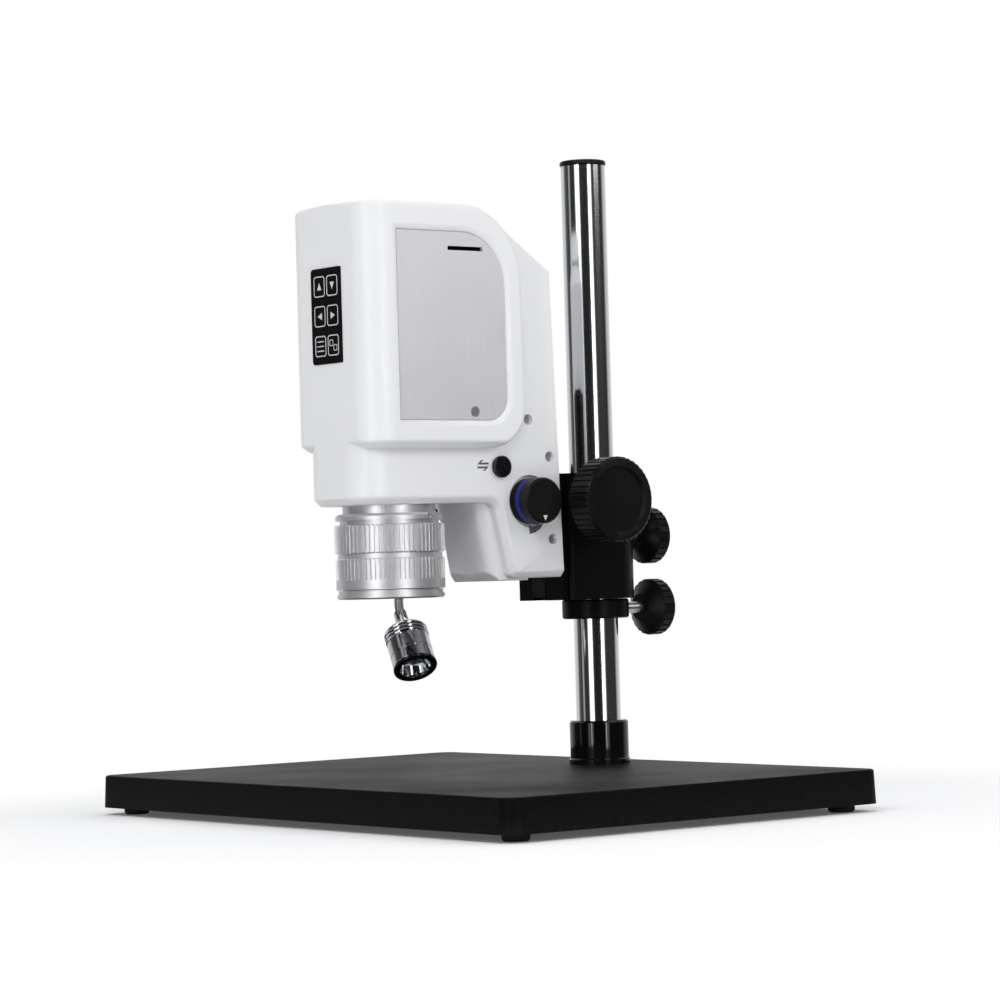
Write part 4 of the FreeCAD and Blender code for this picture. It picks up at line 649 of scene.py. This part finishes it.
@dataclass
class Stand:
    """Base plate, feet, column, collar and cap."""

    column_y: float = 169.0
    column_radius: float = 15.0
    column_wall: float = 2.5
    column_top: float = 402.0
    chamfer: float = 0.6
    cap_tall: float = 3.0
    spigot: float = 12.4
    spigot_deep: float = 10.0

    def build(self) -> None:
        """Dress the stand."""
        keep(POWDER, "base_plate")
        keep(RUBBER, "rubber_feet")
        keep(STEEL, "foot_screws", "column_bolt")
        keep(FRAME, "column_plug")
        keep(GLOSS, "column_collar")
        self.tube()
        self.cap()

    def tube(self) -> None:
        """Chrome tube, with its bore."""
        outer, inner = self.column_radius, self.column_radius - self.column_wall
        top, chamfer = self.column_top, self.chamfer
        profile = [(inner, 0.0), (outer - chamfer, 0.0), (outer, chamfer), (outer, top - chamfer),
                   (outer - chamfer, top), (inner, top)]
        tube = lathe("chrome_column", profile, (0, self.column_y, 0), steps=128, closed=True)
        dress(smooth(tube), CHROME, "stand", "column_chrome", "column")

    def cap(self) -> None:
        """Black end cap with a rolled edge."""
        outer, tall, spigot = self.column_radius + 0.5, self.cap_tall, self.spigot
        profile = [(0.0, -self.spigot_deep), (spigot, -self.spigot_deep), (spigot, 0.0),
                   (outer - 0.2, 0.0), (outer, 0.3), (outer, tall - 1.1),
                   (outer - 0.35, tall - 0.4), (outer - 1.1, tall), (0.0, tall)]
        cap = lathe("black_cap", profile, (0, self.column_y, self.column_top))
        dress(smooth(cap), BLACK, "stand", "black_plastic", "column_cap")


class Clamps:
    """Safety ring, clamp knobs and their studs."""

    def build(self) -> None:
        """Dress the ring, the sleeve and both clamp screws."""
        keep(BLACK_PAINT, "safety_ring")
        keep(GUIDE, "column_sleeve")
        keep(STEEL, "ring_stud", "clamp_stud")
        grip("ring_knob", "ring_clamp", width=0.45, angle=28)
        grip("clamp_knob", "block_clamp", width=0.45, angle=28)


class FocusBlock:
    """Focus body with its guide, shaft, bushes and knobs."""

    def build(self) -> None:
        """Dress the focus block."""
        piece = merge_flat(copy_of("focus_body", "focus_casting"))
        round_edges(piece, width=0.8, segments=3, angle=40)
        dress(smooth(piece, angle=40), BLACK_PAINT, "focus_block", "black_metal",
              "focus_body")
        keep(BRASS, "pinion_bushes")
        keep(STEEL, "pinion_shaft")
        for side in ("right", "left"):
            grip(f"focus_knob_{side}", "pinion", width=0.5, angle=20)


@dataclass
class Head:
    """Head housing with its panels, controls and inner parts."""

    edge: float = 1.3
    edge_turn: float = 24.0
    body: str = "head"
    pod: float = 46.0
    rim: float = 44.6
    rim_wide: float = 2.8
    in_plane: float = 0.03
    seam: float = 0.5
    wall: float = 34.5
    dial_face: float = 50.3
    latch_slope: float = -60.0
    mark_place: tuple[float, float] = (50.7, 198.8)
    latch_place: tuple[float, float] = (64.9, 197.9)
    dial_place: tuple[float, float] = (88.3, 175.5)
    holes: tuple[tuple[float, float, float], ...] = (
        (*latch_place, 9.0), (*dial_place, 20.5), (38.6, 232.9, 5.0), (88.7, 228.6, 5.0),
        (105.6, 204.3, 5.0), (106.6, 150.5, 5.0))
    keypad_half: float = 17.5
    keypad_front: float = -40.0
    keypad_rise: tuple[float, float] = (262.0, 329.0)
    fillet_edge: float = 0.4
    fillet_top: float = 140.0

    def build(self) -> None:
        """Dress the head."""
        for side in ("right", "left"):
            self.shell(side)
            keep(PANEL, f"{side}_panel")
            keep(BLACK, f"dial_{side}")
        self.latch()
        keep(BLUE, "dial_bands")
        keep(STEEL, "dial_shaft", "head_screws")
        keep(BLACK, "dial_sensor", "card_socket")
        keep(GUIDE, "dovetail_slide", "rack")
        keep(FRAME, "chassis")
        keep(BOARD, "camera_board", "main_board", "keypad_board")
        self.prints()

    def shell(self, side: str) -> None:
        """One half of the housing with soft outer edges and a wide bevel round the panel.

        Args:
            side: right or left.
        """
        piece = merge_flat(copy_of(f"{side}_shell", f"{side}_housing"))
        shape = bmesh.new()
        shape.from_mesh(piece.data)
        self.widen_rim(shape)
        weights = shape.edges.layers.float.new("bevel_weight_edge")
        walls = BVHTree.FromBMesh(shape)
        marked = 0
        for edge in shape.edges:
            if self.is_outer(edge, walls):
                edge[weights] = 1.0
                marked += 1
        shape.to_mesh(piece.data)
        shape.free()
        LOG.info("%s: %d soft edges", piece.name, marked)
        round_edges(piece, self.edge, segments=4, by_weight=True)
        dress(smooth(piece, angle=24.5), SHELL, self.body, "white_shell", f"{side}_shell")

    def widen_rim(self, shape: bmesh.types.BMesh) -> None:
        """Spread the bevel round the panel by moving its outer line outwards.

        Args:
            shape: mesh of one half.
        """
        moves = {}
        reach = self.in_plane * MM
        for vertex in shape.verts:
            if abs(abs(vertex.co.x) - self.pod * MM) > reach:
                continue
            near = [edge.other_vert(vertex).co for edge in vertex.link_edges
                    if abs(abs(edge.other_vert(vertex).co.x) - self.rim * MM) < reach]
            if near:
                inner = min(near, key=lambda place: (place - vertex.co).length)
                shift = vertex.co - inner
                shift.x = 0.0
                moves[vertex] = shift * (self.rim_wide / (self.pod - self.rim) - 1)
        for vertex, shift in moves.items():
            vertex.co += shift
        shape.normal_update()

    def is_outer(self, edge: bmesh.types.BMEdge, walls: BVHTree) -> bool:
        """Whether an edge is a convex outer edge of the housing, away from its holes.

        Args:
            edge: edge of one half.
            walls: the half's faces, to tell inner edges, which face another wall.

        Returns:
            True where the edge is to be rounded.
        """
        if len(edge.link_faces) != 2 or not edge.is_convex:
            return False
        if edge.calc_face_angle(0.0) < math.radians(self.edge_turn):
            return False
        ends = [vertex.co / MM for vertex in edge.verts]
        if min(abs(end.x) for end in ends) < self.seam:
            return False
        middle = (ends[0] + ends[1]) / 2
        for across, rise, radius in self.holes:
            if math.hypot(middle.y - across, middle.z - rise) < radius:
                return False
        low, high = self.keypad_rise
        if (middle.y < self.keypad_front and abs(middle.x) < self.keypad_half
                and low < middle.z < high):
            return False
        if edge.calc_length() < self.fillet_edge * MM and middle.z < self.fillet_top:
            return False
        normals = [face.normal for face in edge.link_faces]
        way = (normals[0] + normals[1]).normalized()
        start = edge.verts[0].co.lerp(edge.verts[1].co, 0.5) + way * 0.05 * MM
        return walls.ray_cast(start, way)[0] is None

    def latch(self) -> None:
        """Slotted latch with its slot at the slope that the photograph shows."""
        piece = merge_flat(copy_of("latch_knob", "slotted_latch"))
        centre = Matrix.Translation(Vector((0, *self.latch_place)) * MM)
        turn = Matrix.Rotation(math.radians(self.latch_slope), 4, "X")
        piece.data.transform(centre @ turn @ centre.inverted())
        round_edges(piece, width=0.35, angle=CORNER_ANGLE)
        dress(smooth(piece, angle=30), LATCH, "latch", "black_metal", "latch_knob")

    def prints(self) -> None:
        """Turn mark beside the latch, painted shade on the wall below the dial, and pointer on the
        dial's face.
        """
        facing = Matrix(((0, 0, 1), (1, 0, 0), (0, 1, 0))).to_4x4()
        arrow = [(-4.6, 0.6), (4.6, 0.6), (4.6, 1.9), (-1.9, 1.9), (0.4, 3.5), (-1.5, 3.5)]
        turned = [(-x, -y) for x, y in arrow]
        # Dark grey patch on the wall under the dial: painted shade where the floor of the well
        # round the dial lies in shadow.
        well_shade = [(-1.4, -15.6), (-1.0, -21.4), (3.8, -20.4), (8.0, -18.0), (11.0, -14.4),
                 (6.0, -15.9), (2.0, -17.0)]
        pointer = [(0.0, -13.2), (1.7, -9.7), (-1.7, -9.7)]
        for name, outlines, thick, place, finish, body, slot in (
                ("turn_mark", [arrow, turned], 0.06, (self.wall, *self.mark_place), GREY_PRINT_AND_SHADE,
                 self.body, "white_shell"),
                ("dial_well_shade", [well_shade], 0.05, (self.wall, *self.dial_place), GREY_PRINT_AND_SHADE,
                 self.body, "white_shell"),
                ("dial_pointer", [pointer], 0.06, (self.dial_face, *self.dial_place), MARK,
                 "dial", "black_plastic")):
            mark = flat_mark(name, outlines, thick,
                             Matrix.Translation(Vector(place) * MM) @ facing)
            dress(mark, finish, body, slot)


@dataclass
class Keypad:
    """Black keypad plate with six printed keys."""

    face: float = -44.7
    centre: float = 295.6
    wide_pitch: float = 14.0
    tall_pitch: float = 19.0
    outer: tuple[float, float, float] = (12.0, 13.2, 2.1)
    inner: tuple[float, float, float] = (10.7, 11.9, 1.5)
    deep: float = 0.08
    keys: dict[str, tuple[float, float, Glyph]] = field(default_factory=lambda: {
        "key_up": (-0.5, 1, Glyph.UP), "key_down": (0.5, 1, Glyph.DOWN),
        "key_left": (-0.5, 0, Glyph.LEFT), "key_right": (0.5, 0, Glyph.RIGHT),
        "key_menu": (-0.5, -1, Glyph.LIST), "key_mode": (0.5, -1, Glyph.SWAP)})

    def build(self) -> None:
        """Dress the plate and the keys, and print their symbols."""
        keep(KEY, "keypad_plate", *self.keys)
        for node, (across, rise, glyph) in self.keys.items():
            place = Matrix.Translation((across * self.wide_pitch * MM, self.face * MM,
                                        (self.centre + rise * self.tall_pitch) * MM))
            place @= Matrix.Rotation(math.radians(90), 4, "X")
            outlines = [rounded(*self.outer), rounded(*self.inner), *self.outlines(glyph)]
            mark = flat_mark(f"{node}_print", outlines, self.deep, place)
            dress(mark, MARK, node, "key_black")

    def outlines(self, glyph: Glyph) -> list[list[tuple[float, float]]]:
        """Outlines of a symbol.

        Args:
            glyph: which symbol.

        Returns:
            Closed outlines round the key's centre, in millimetres.
        """
        arrow = [(0.0, 2.5), (-2.3, -2.2), (2.3, -2.2)]
        turns = {Glyph.UP: 0, Glyph.LEFT: 90, Glyph.DOWN: 180, Glyph.RIGHT: 270}
        if glyph in turns:
            angle = math.radians(turns[glyph])
            cosine, sine = math.cos(angle), math.sin(angle)
            return [[(x * cosine - y * sine, x * sine + y * cosine) for x, y in arrow]]
        if glyph is Glyph.LIST:
            bars = []
            for row in (-3.0, 0.0, 3.0):
                bars.append(rounded(6.6, 0.7, 0.3, 0.4, row))
                bars.append(rounded(0.8, 0.8, 0.35, -4.0, row))
            return bars
        boxes = []
        for x, y in ((-2.2, 1.6), (2.2, -1.6)):
            boxes += [rounded(4.0, 4.0, 0.8, x, y), rounded(3.0, 3.0, 0.5, x, y)]
        return boxes


class Barrel:
    """Zoom lens under the head."""

    def build(self) -> None:
        """Dress the lens."""
        keep(BARREL, "lens_mount", "nose_ring", "upper_ring", "lower_ring")
        keep(BLACK, "front_cell", "zoom_cell", "lens_tube")
        keep(GLASS, "front_glass", "zoom_glass")


@dataclass
class Lamp:
    """LED lamp on its gooseneck: bright housing, black face ring, window and wound neck."""

    face: tuple[float, float, float] = (-24.0, 35.5, 68.6)
    turn: float = 16.6
    tilt: float = 37.7
    radius: float = 14.6
    long: float = 32.0
    window: float = 10.3
    ring_deep: float = 2.0
    bowl_deep: float = 8.0
    bowl_floor: float = 3.6
    bowl_steps: int = 8
    seam: float = 0.68
    rolls: int = 3
    roll_start: float = 2.6
    roll_pitch: float = 2.7
    ferrule_long: float = 14.0
    root: tuple[float, float, float] = (-26.0, 34.0, 173.7)
    tube: float = 3.3
    wire: float = 0.72
    turns: int = 46
    wire_steps: int = 14
    core_steps: int = 60
    sink: float = 2.1
    pull: float = 0.42
    slack: float = 1.12

    def build(self) -> None:
        """Dress the lamp and its neck."""
        keep(LAMP_CHROME, "neck_socket")
        keep(GLOSS, "lamp_ring", bevel=0.3)
        keep(LED, "lamp_led")
        keep(GLASS, "lamp_window")
        self.housing()
        self.ferrule()
        self.neck()

    def aim(self) -> Vector:
        """Direction in which the lamp shines."""
        turn, tilt = math.radians(self.turn), math.radians(self.tilt)
        return Vector((math.sin(tilt) * math.cos(turn), -math.sin(tilt) * math.sin(turn),
                       -math.cos(tilt)))

    def top(self) -> Vector:
        """Centre of the housing's rear face, in millimetres."""
        return Vector(self.face) - self.aim() * self.long

    def housing(self) -> None:
        """Housing with three rolled rings, a fine seam and a polished bowl in its mouth."""
        radius, front = self.radius, self.long - self.ring_deep
        profile = [(0.0, 0.0), (radius - 5.0, 0.0), (radius - 2.4, 0.6), (radius - 1.2, 1.6)]
        for index in range(self.rolls):
            low = self.roll_start + self.roll_pitch * index
            profile += [(radius - 1.3, low - 0.5), (radius - 0.35, low - 0.1),
                        (radius, low + 0.5), (radius, low + 1.1), (radius - 0.35, low + 1.7),
                        (radius - 1.3, low + 1.9)]
        start = self.roll_start + self.roll_pitch * self.rolls
        seam = self.long * self.seam
        profile += [(radius - 1.3, start - 0.2), (radius - 0.3, start + 0.3),
                    (radius - 0.3, seam - 0.2), (radius - 0.55, seam), (radius - 0.3, seam + 0.2),
                    (radius - 0.1, front - 0.4), (radius - 0.2, front), (self.window + 0.6, front)]
        bottom, flat = front - self.bowl_deep, self.bowl_floor
        for step in range(self.bowl_steps, -1, -1):
            across = flat + (self.window + 0.4 - flat) * step / self.bowl_steps
            rise = ((across - flat) / (self.window + 0.4 - flat)) ** 2
            profile.append((across, bottom + self.bowl_deep * rise * 0.96))
        profile.append((0.0, bottom))
        piece = lathe("lamp_housing", profile, tuple(self.top()), self.aim())
        dress(smooth(piece, angle=30), LAMP_CHROME, "lamp", "lamp_metal", "lamp_body")

    def ferrule(self) -> None:
        """Tapered nut between the neck and the housing."""
        tall, foot = self.ferrule_long, self.tube + 2.5
        profile = [(self.tube + 0.1, 0.0), (self.tube + 0.7, 0.0), (self.tube + 1.0, 0.3),
                   (self.tube + 1.3, 6.6), (foot - 0.2, tall - 4.6), (foot, tall - 3.4),
                   (foot, tall), (self.tube + 0.1, tall)]
        place = self.top() - self.aim() * tall
        piece = lathe("neck_ferrule", profile, tuple(place), self.aim(), steps=64, closed=True)
        dress(smooth(piece, angle=30), LAMP_CHROME, "lamp", "lamp_metal", "lamp_ferrule")

    def line(self, share: float) -> tuple[Vector, Vector]:
        """Point and heading on the neck's line: straight at both ends, a cubic between.

        Args:
            share: how far along, from 0 at the socket to 1 in the housing.

        Returns:
            The point in millimetres and the unit heading.
        """
        leave, arrive = -UP, self.aim()
        root, end = Vector(self.root), self.top() - arrive * self.sink
        run = 2 * self.tube
        first, last = root + leave * run, end - arrive * run
        gap = (last - first).length
        edge = run / (gap * self.slack + 2 * run)
        if share < edge:
            return root + leave * (run * share / edge), leave
        if share > 1 - edge:
            return end - arrive * (run * (1 - share) / edge), arrive
        part = (share - edge) / (1 - 2 * edge)
        rest = 1 - part
        near, far = first + leave * self.pull * gap, last - arrive * self.pull * gap
        point = (first * rest ** 3 + near * 3 * rest ** 2 * part + far * 3 * rest * part ** 2
                 + last * part ** 3)
        heading = ((near - first) * rest ** 2 + (far - near) * 2 * rest * part
                   + (last - far) * part ** 2)
        return point, heading.normalized()

    def wound(self, name: str, points: list[Vector], depth: float) -> Piece:
        """Round wire along points, as a mesh.

        Args:
            name: name of the new piece.
            points: points in millimetres.
            depth: wire radius in millimetres.

        Returns:
            The new object.
        """
        curve = bpy.data.curves.new(name, "CURVE")
        curve.dimensions = "3D"
        curve.bevel_depth = depth * MM
        curve.bevel_resolution = 2
        curve.use_fill_caps = True
        return as_mesh(name, curve, [points], loops=False)

    def neck(self) -> None:
        """Flexible neck wound from round wire over a dark core, bending between its ends."""
        core = [self.line(index / self.core_steps)[0] for index in range(self.core_steps + 1)]
        side = Vector((1, 0, 0))
        helix = []
        count = self.turns * self.wire_steps
        for index in range(count + 1):
            point, heading = self.line(index / count)
            side = (side - heading * side.dot(heading)).normalized()
            angle = math.tau * index / self.wire_steps
            out = side * math.cos(angle) + heading.cross(side) * math.sin(angle)
            helix.append(point + out * (self.tube - self.wire))
        inner = self.wound("neck_core", core, self.tube - self.wire)
        outer = self.wound("wound_neck", helix, self.wire)
        for piece, finish, replaced in ((outer, NECK, ("gooseneck",)), (inner, NECK_CORE, ())):
            dress(smooth(piece, angle=60), finish, None, "neck_metal", *replaced)
            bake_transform(piece)


@dataclass
class Studio:
    """Pale floor, soft lights, strip lights, dark flags and the camera."""

    floor: float = -26.5
    azimuth: float = 52.23
    pitch: float = -1.272
    roll: float = -1.6506
    lens: float = 121.95
    place: tuple[float, float, float] = (1762.8, -1275.4, 127.9)
    middle: tuple[float, float] = (0.0, 85.0)
    floor_wide: float = 2.2
    fade: tuple[float, float] = (0.27, 0.52)
    lift: float = 0.08
    daylight: float = 0.48
    surround: tuple[tuple[float, float], ...] = (
        (-180, 1.0), (-150, 0.75), (-122, 0.6), (-110, 0.1), (-86, 0.03), (-82, 0.4),
        (-76, 0.4), (-73, 0.03), (-46, 0.02), (-43, 1.7), (-24, 1.7), (-21, 0.01), (22, 0.01),
        (24, 1.7), (38, 1.7), (41, 0.03), (104, 0.03), (118, 0.5), (150, 0.75), (180, 1.0))

    def build(self) -> None:
        """Make the camera, the floor, the lights and the world."""
        self.camera()
        self.ground()
        self.lights()
        self.world()

    def camera(self) -> None:
        """Camera at the photograph's viewpoint."""
        azimuth, pitch, roll = (math.radians(angle) for angle in
                                (self.azimuth, self.pitch, self.roll))
        back = Vector((math.sin(azimuth) * math.cos(pitch), -math.cos(azimuth) * math.cos(pitch),
                       math.sin(pitch)))
        right = (-back).cross(UP).normalized()
        up = right.cross(-back)
        across = right * math.cos(roll) + up * math.sin(roll)
        rise = up * math.cos(roll) - right * math.sin(roll)
        data = bpy.data.cameras.new("photo_camera")
        data.sensor_width = 36.0
        data.lens = self.lens
        data.clip_end = 20.0
        camera = add_object("photo_camera", data)
        turn = Matrix((across, rise, back)).transposed().to_4x4()
        camera.matrix_world = Matrix.Translation(Vector(self.place) * MM) @ turn
        bpy.context.scene.camera = camera

    def ground(self) -> None:
        """White floor with the object's shadow, fading into the white backdrop around it."""
        bpy.ops.object.select_all(action="DESELECT")
        bpy.ops.mesh.primitive_plane_add(size=self.floor_wide, location=(0, 0, self.floor * MM))
        floor = bpy.context.object
        floor.name = "pale_floor"
        apply_place(floor)
        material = bpy.data.materials.new("pale_floor")
        material.use_nodes = True
        tree = material.node_tree
        seen = self._either(tree, new_node(tree, "LightPath"))
        shader = settle(tree, tree.nodes["Principled BSDF"], Base_Color=(0.90, 0.90, 0.905, 1),
                        Roughness=0.9, Specular_IOR_Level=0.0, Emission_Color=WHITE,
                        Emission_Strength=compute(tree, "MULTIPLY", seen, self.lift))
        middle = (self.middle[0] * MM, self.middle[1] * MM, self.floor * MM)
        place = new_node(tree, "TexCoord").outputs["Object"]
        away = vector_step(tree, "DISTANCE", place, middle).outputs["Value"]
        fade = new_node(tree, "MapRange", interpolation_type="SMOOTHSTEP", Value=away,
                        From_Min=self.fade[0], From_Max=self.fade[1])
        share = compute(tree, "MULTIPLY", fade.outputs["Result"], seen)
        clear = new_node(tree, "BsdfTransparent").outputs["BSDF"]
        settle(tree, tree.nodes["Material Output"],
               Surface=mix_shaders(tree, share, shader.outputs["BSDF"], clear))
        floor.data.materials.append(material)

    @staticmethod
    def _either(tree: Tree, path: Node) -> Socket:
        """Whether a ray comes from the camera, a mirror or glass.

        Args:
            tree: tree to add nodes to.
            path: its Light Path node.

        Returns:
            Socket that is 1 for such rays.
        """
        either = path.outputs["Is Camera Ray"]
        for label in ("Is Glossy Ray", "Is Transmission Ray"):
            either = compute(tree, "MAXIMUM", either, path.outputs[label])
        return either

    def toward(self, relative: float, far: float, rise: float) -> Vector:
        """Place at an angle to the right of the camera's own direction from the object.

        Args:
            relative: degrees to the right, seen from the camera.
            far: distance in metres.
            rise: height in metres.

        Returns:
            The place in metres.
        """
        angle = math.radians(self.azimuth - 90 + relative)
        return Vector((math.cos(angle) * far, math.sin(angle) * far, rise))

    def lights(self) -> None:
        """Soft boxes overhead, in front and to the side, and two upright strips."""
        for name, place, aim, wide, tall, power in (
                ("key_light", Vector((0.4, -1.9, 2.0)), 0.15, 1.6, 1.6, 15.0),
                ("front_light", self.toward(0.0, 1.9, 1.3), 0.25, 0.3, 0.5, 7.0),
                ("side_light", Vector((2.0, 1.4, 1.3)), 0.25, 1.2, 1.2, 13.0),
                ("top_light", Vector((-0.5, 0.6, 2.4)), 0.1, 2.6, 2.6, 16.0),
                ("left_strip", self.toward(-28.0, 1.8, 0.35), 0.35, 0.08, 1.7, 4.2),
                ("right_strip", self.toward(33.0, 1.8, 0.35), 0.35, 0.08, 1.7, 4.2)):
            data = bpy.data.lights.new(name, "AREA")
            data.shape = "RECTANGLE"
            data.size = wide
            data.size_y = tall
            data.energy = power
            lamp = add_object(name, data)
            lamp.location = place
            way = Vector((0, 0, aim)) - place
            lamp.rotation_euler = way.to_track_quat("-Z", "Y").to_euler()

    def world(self) -> None:
        """World that lights evenly, shows white behind the object and has dark flags round it."""
        world = bpy.data.worlds.new("studio")
        world.use_nodes = True
        tree = world.node_tree
        tree.nodes.clear()
        light = new_node(tree, "Background", Color=(0.97, 0.985, 1.0, 1), Strength=self.daylight)
        shown = new_node(tree, "Background", Color=WHITE)
        place = new_node(tree, "TexCoord").outputs["Generated"]
        turn = new_node(tree, "VectorRotate", rotation_type="Z_AXIS", Vector=place,
                        Angle=math.radians(90 - self.azimuth))
        about = new_node(tree, "TexGradient", gradient_type="RADIAL",
                         Vector=turn.outputs["Vector"])
        ramp = new_node(tree, "ValToRGB", Fac=about.outputs["Fac"])
        stops = ramp.color_ramp.elements
        for index, (angle, level) in enumerate(self.surround):
            stop = stops[index] if index < 2 else stops.new(0.5 + angle / 360)
            stop.position = 0.5 + angle / 360
            stop.color = (level, level, level, 1)
        room = new_node(tree, "Background", Color=ramp.outputs["Color"])
        path = new_node(tree, "LightPath")
        bright = mix_shaders(tree, path.outputs["Is Camera Ray"], room.outputs["Background"],
                             shown.outputs["Background"])
        mixed = mix_shaders(tree, self._either(tree, path), light.outputs["Background"], bright)
        new_node(tree, "OutputWorld", Surface=mixed)
        bpy.context.scene.world = world
        bpy.context.scene.view_settings.view_transform = "Standard"


def main() -> None:
    """Build every part of the microscope's looks."""
    logging.basicConfig(level=logging.INFO, format="%(name)s: %(message)s")
    bpy.ops.object.select_all(action="DESELECT")
    for part in (Stand(), Clamps(), FocusBlock(), Head(), Keypad(), Barrel(), Lamp(), Studio()):
        LOG.info("building %s", type(part).__name__)
        part.build()


if __name__ == "__main__":
    main()
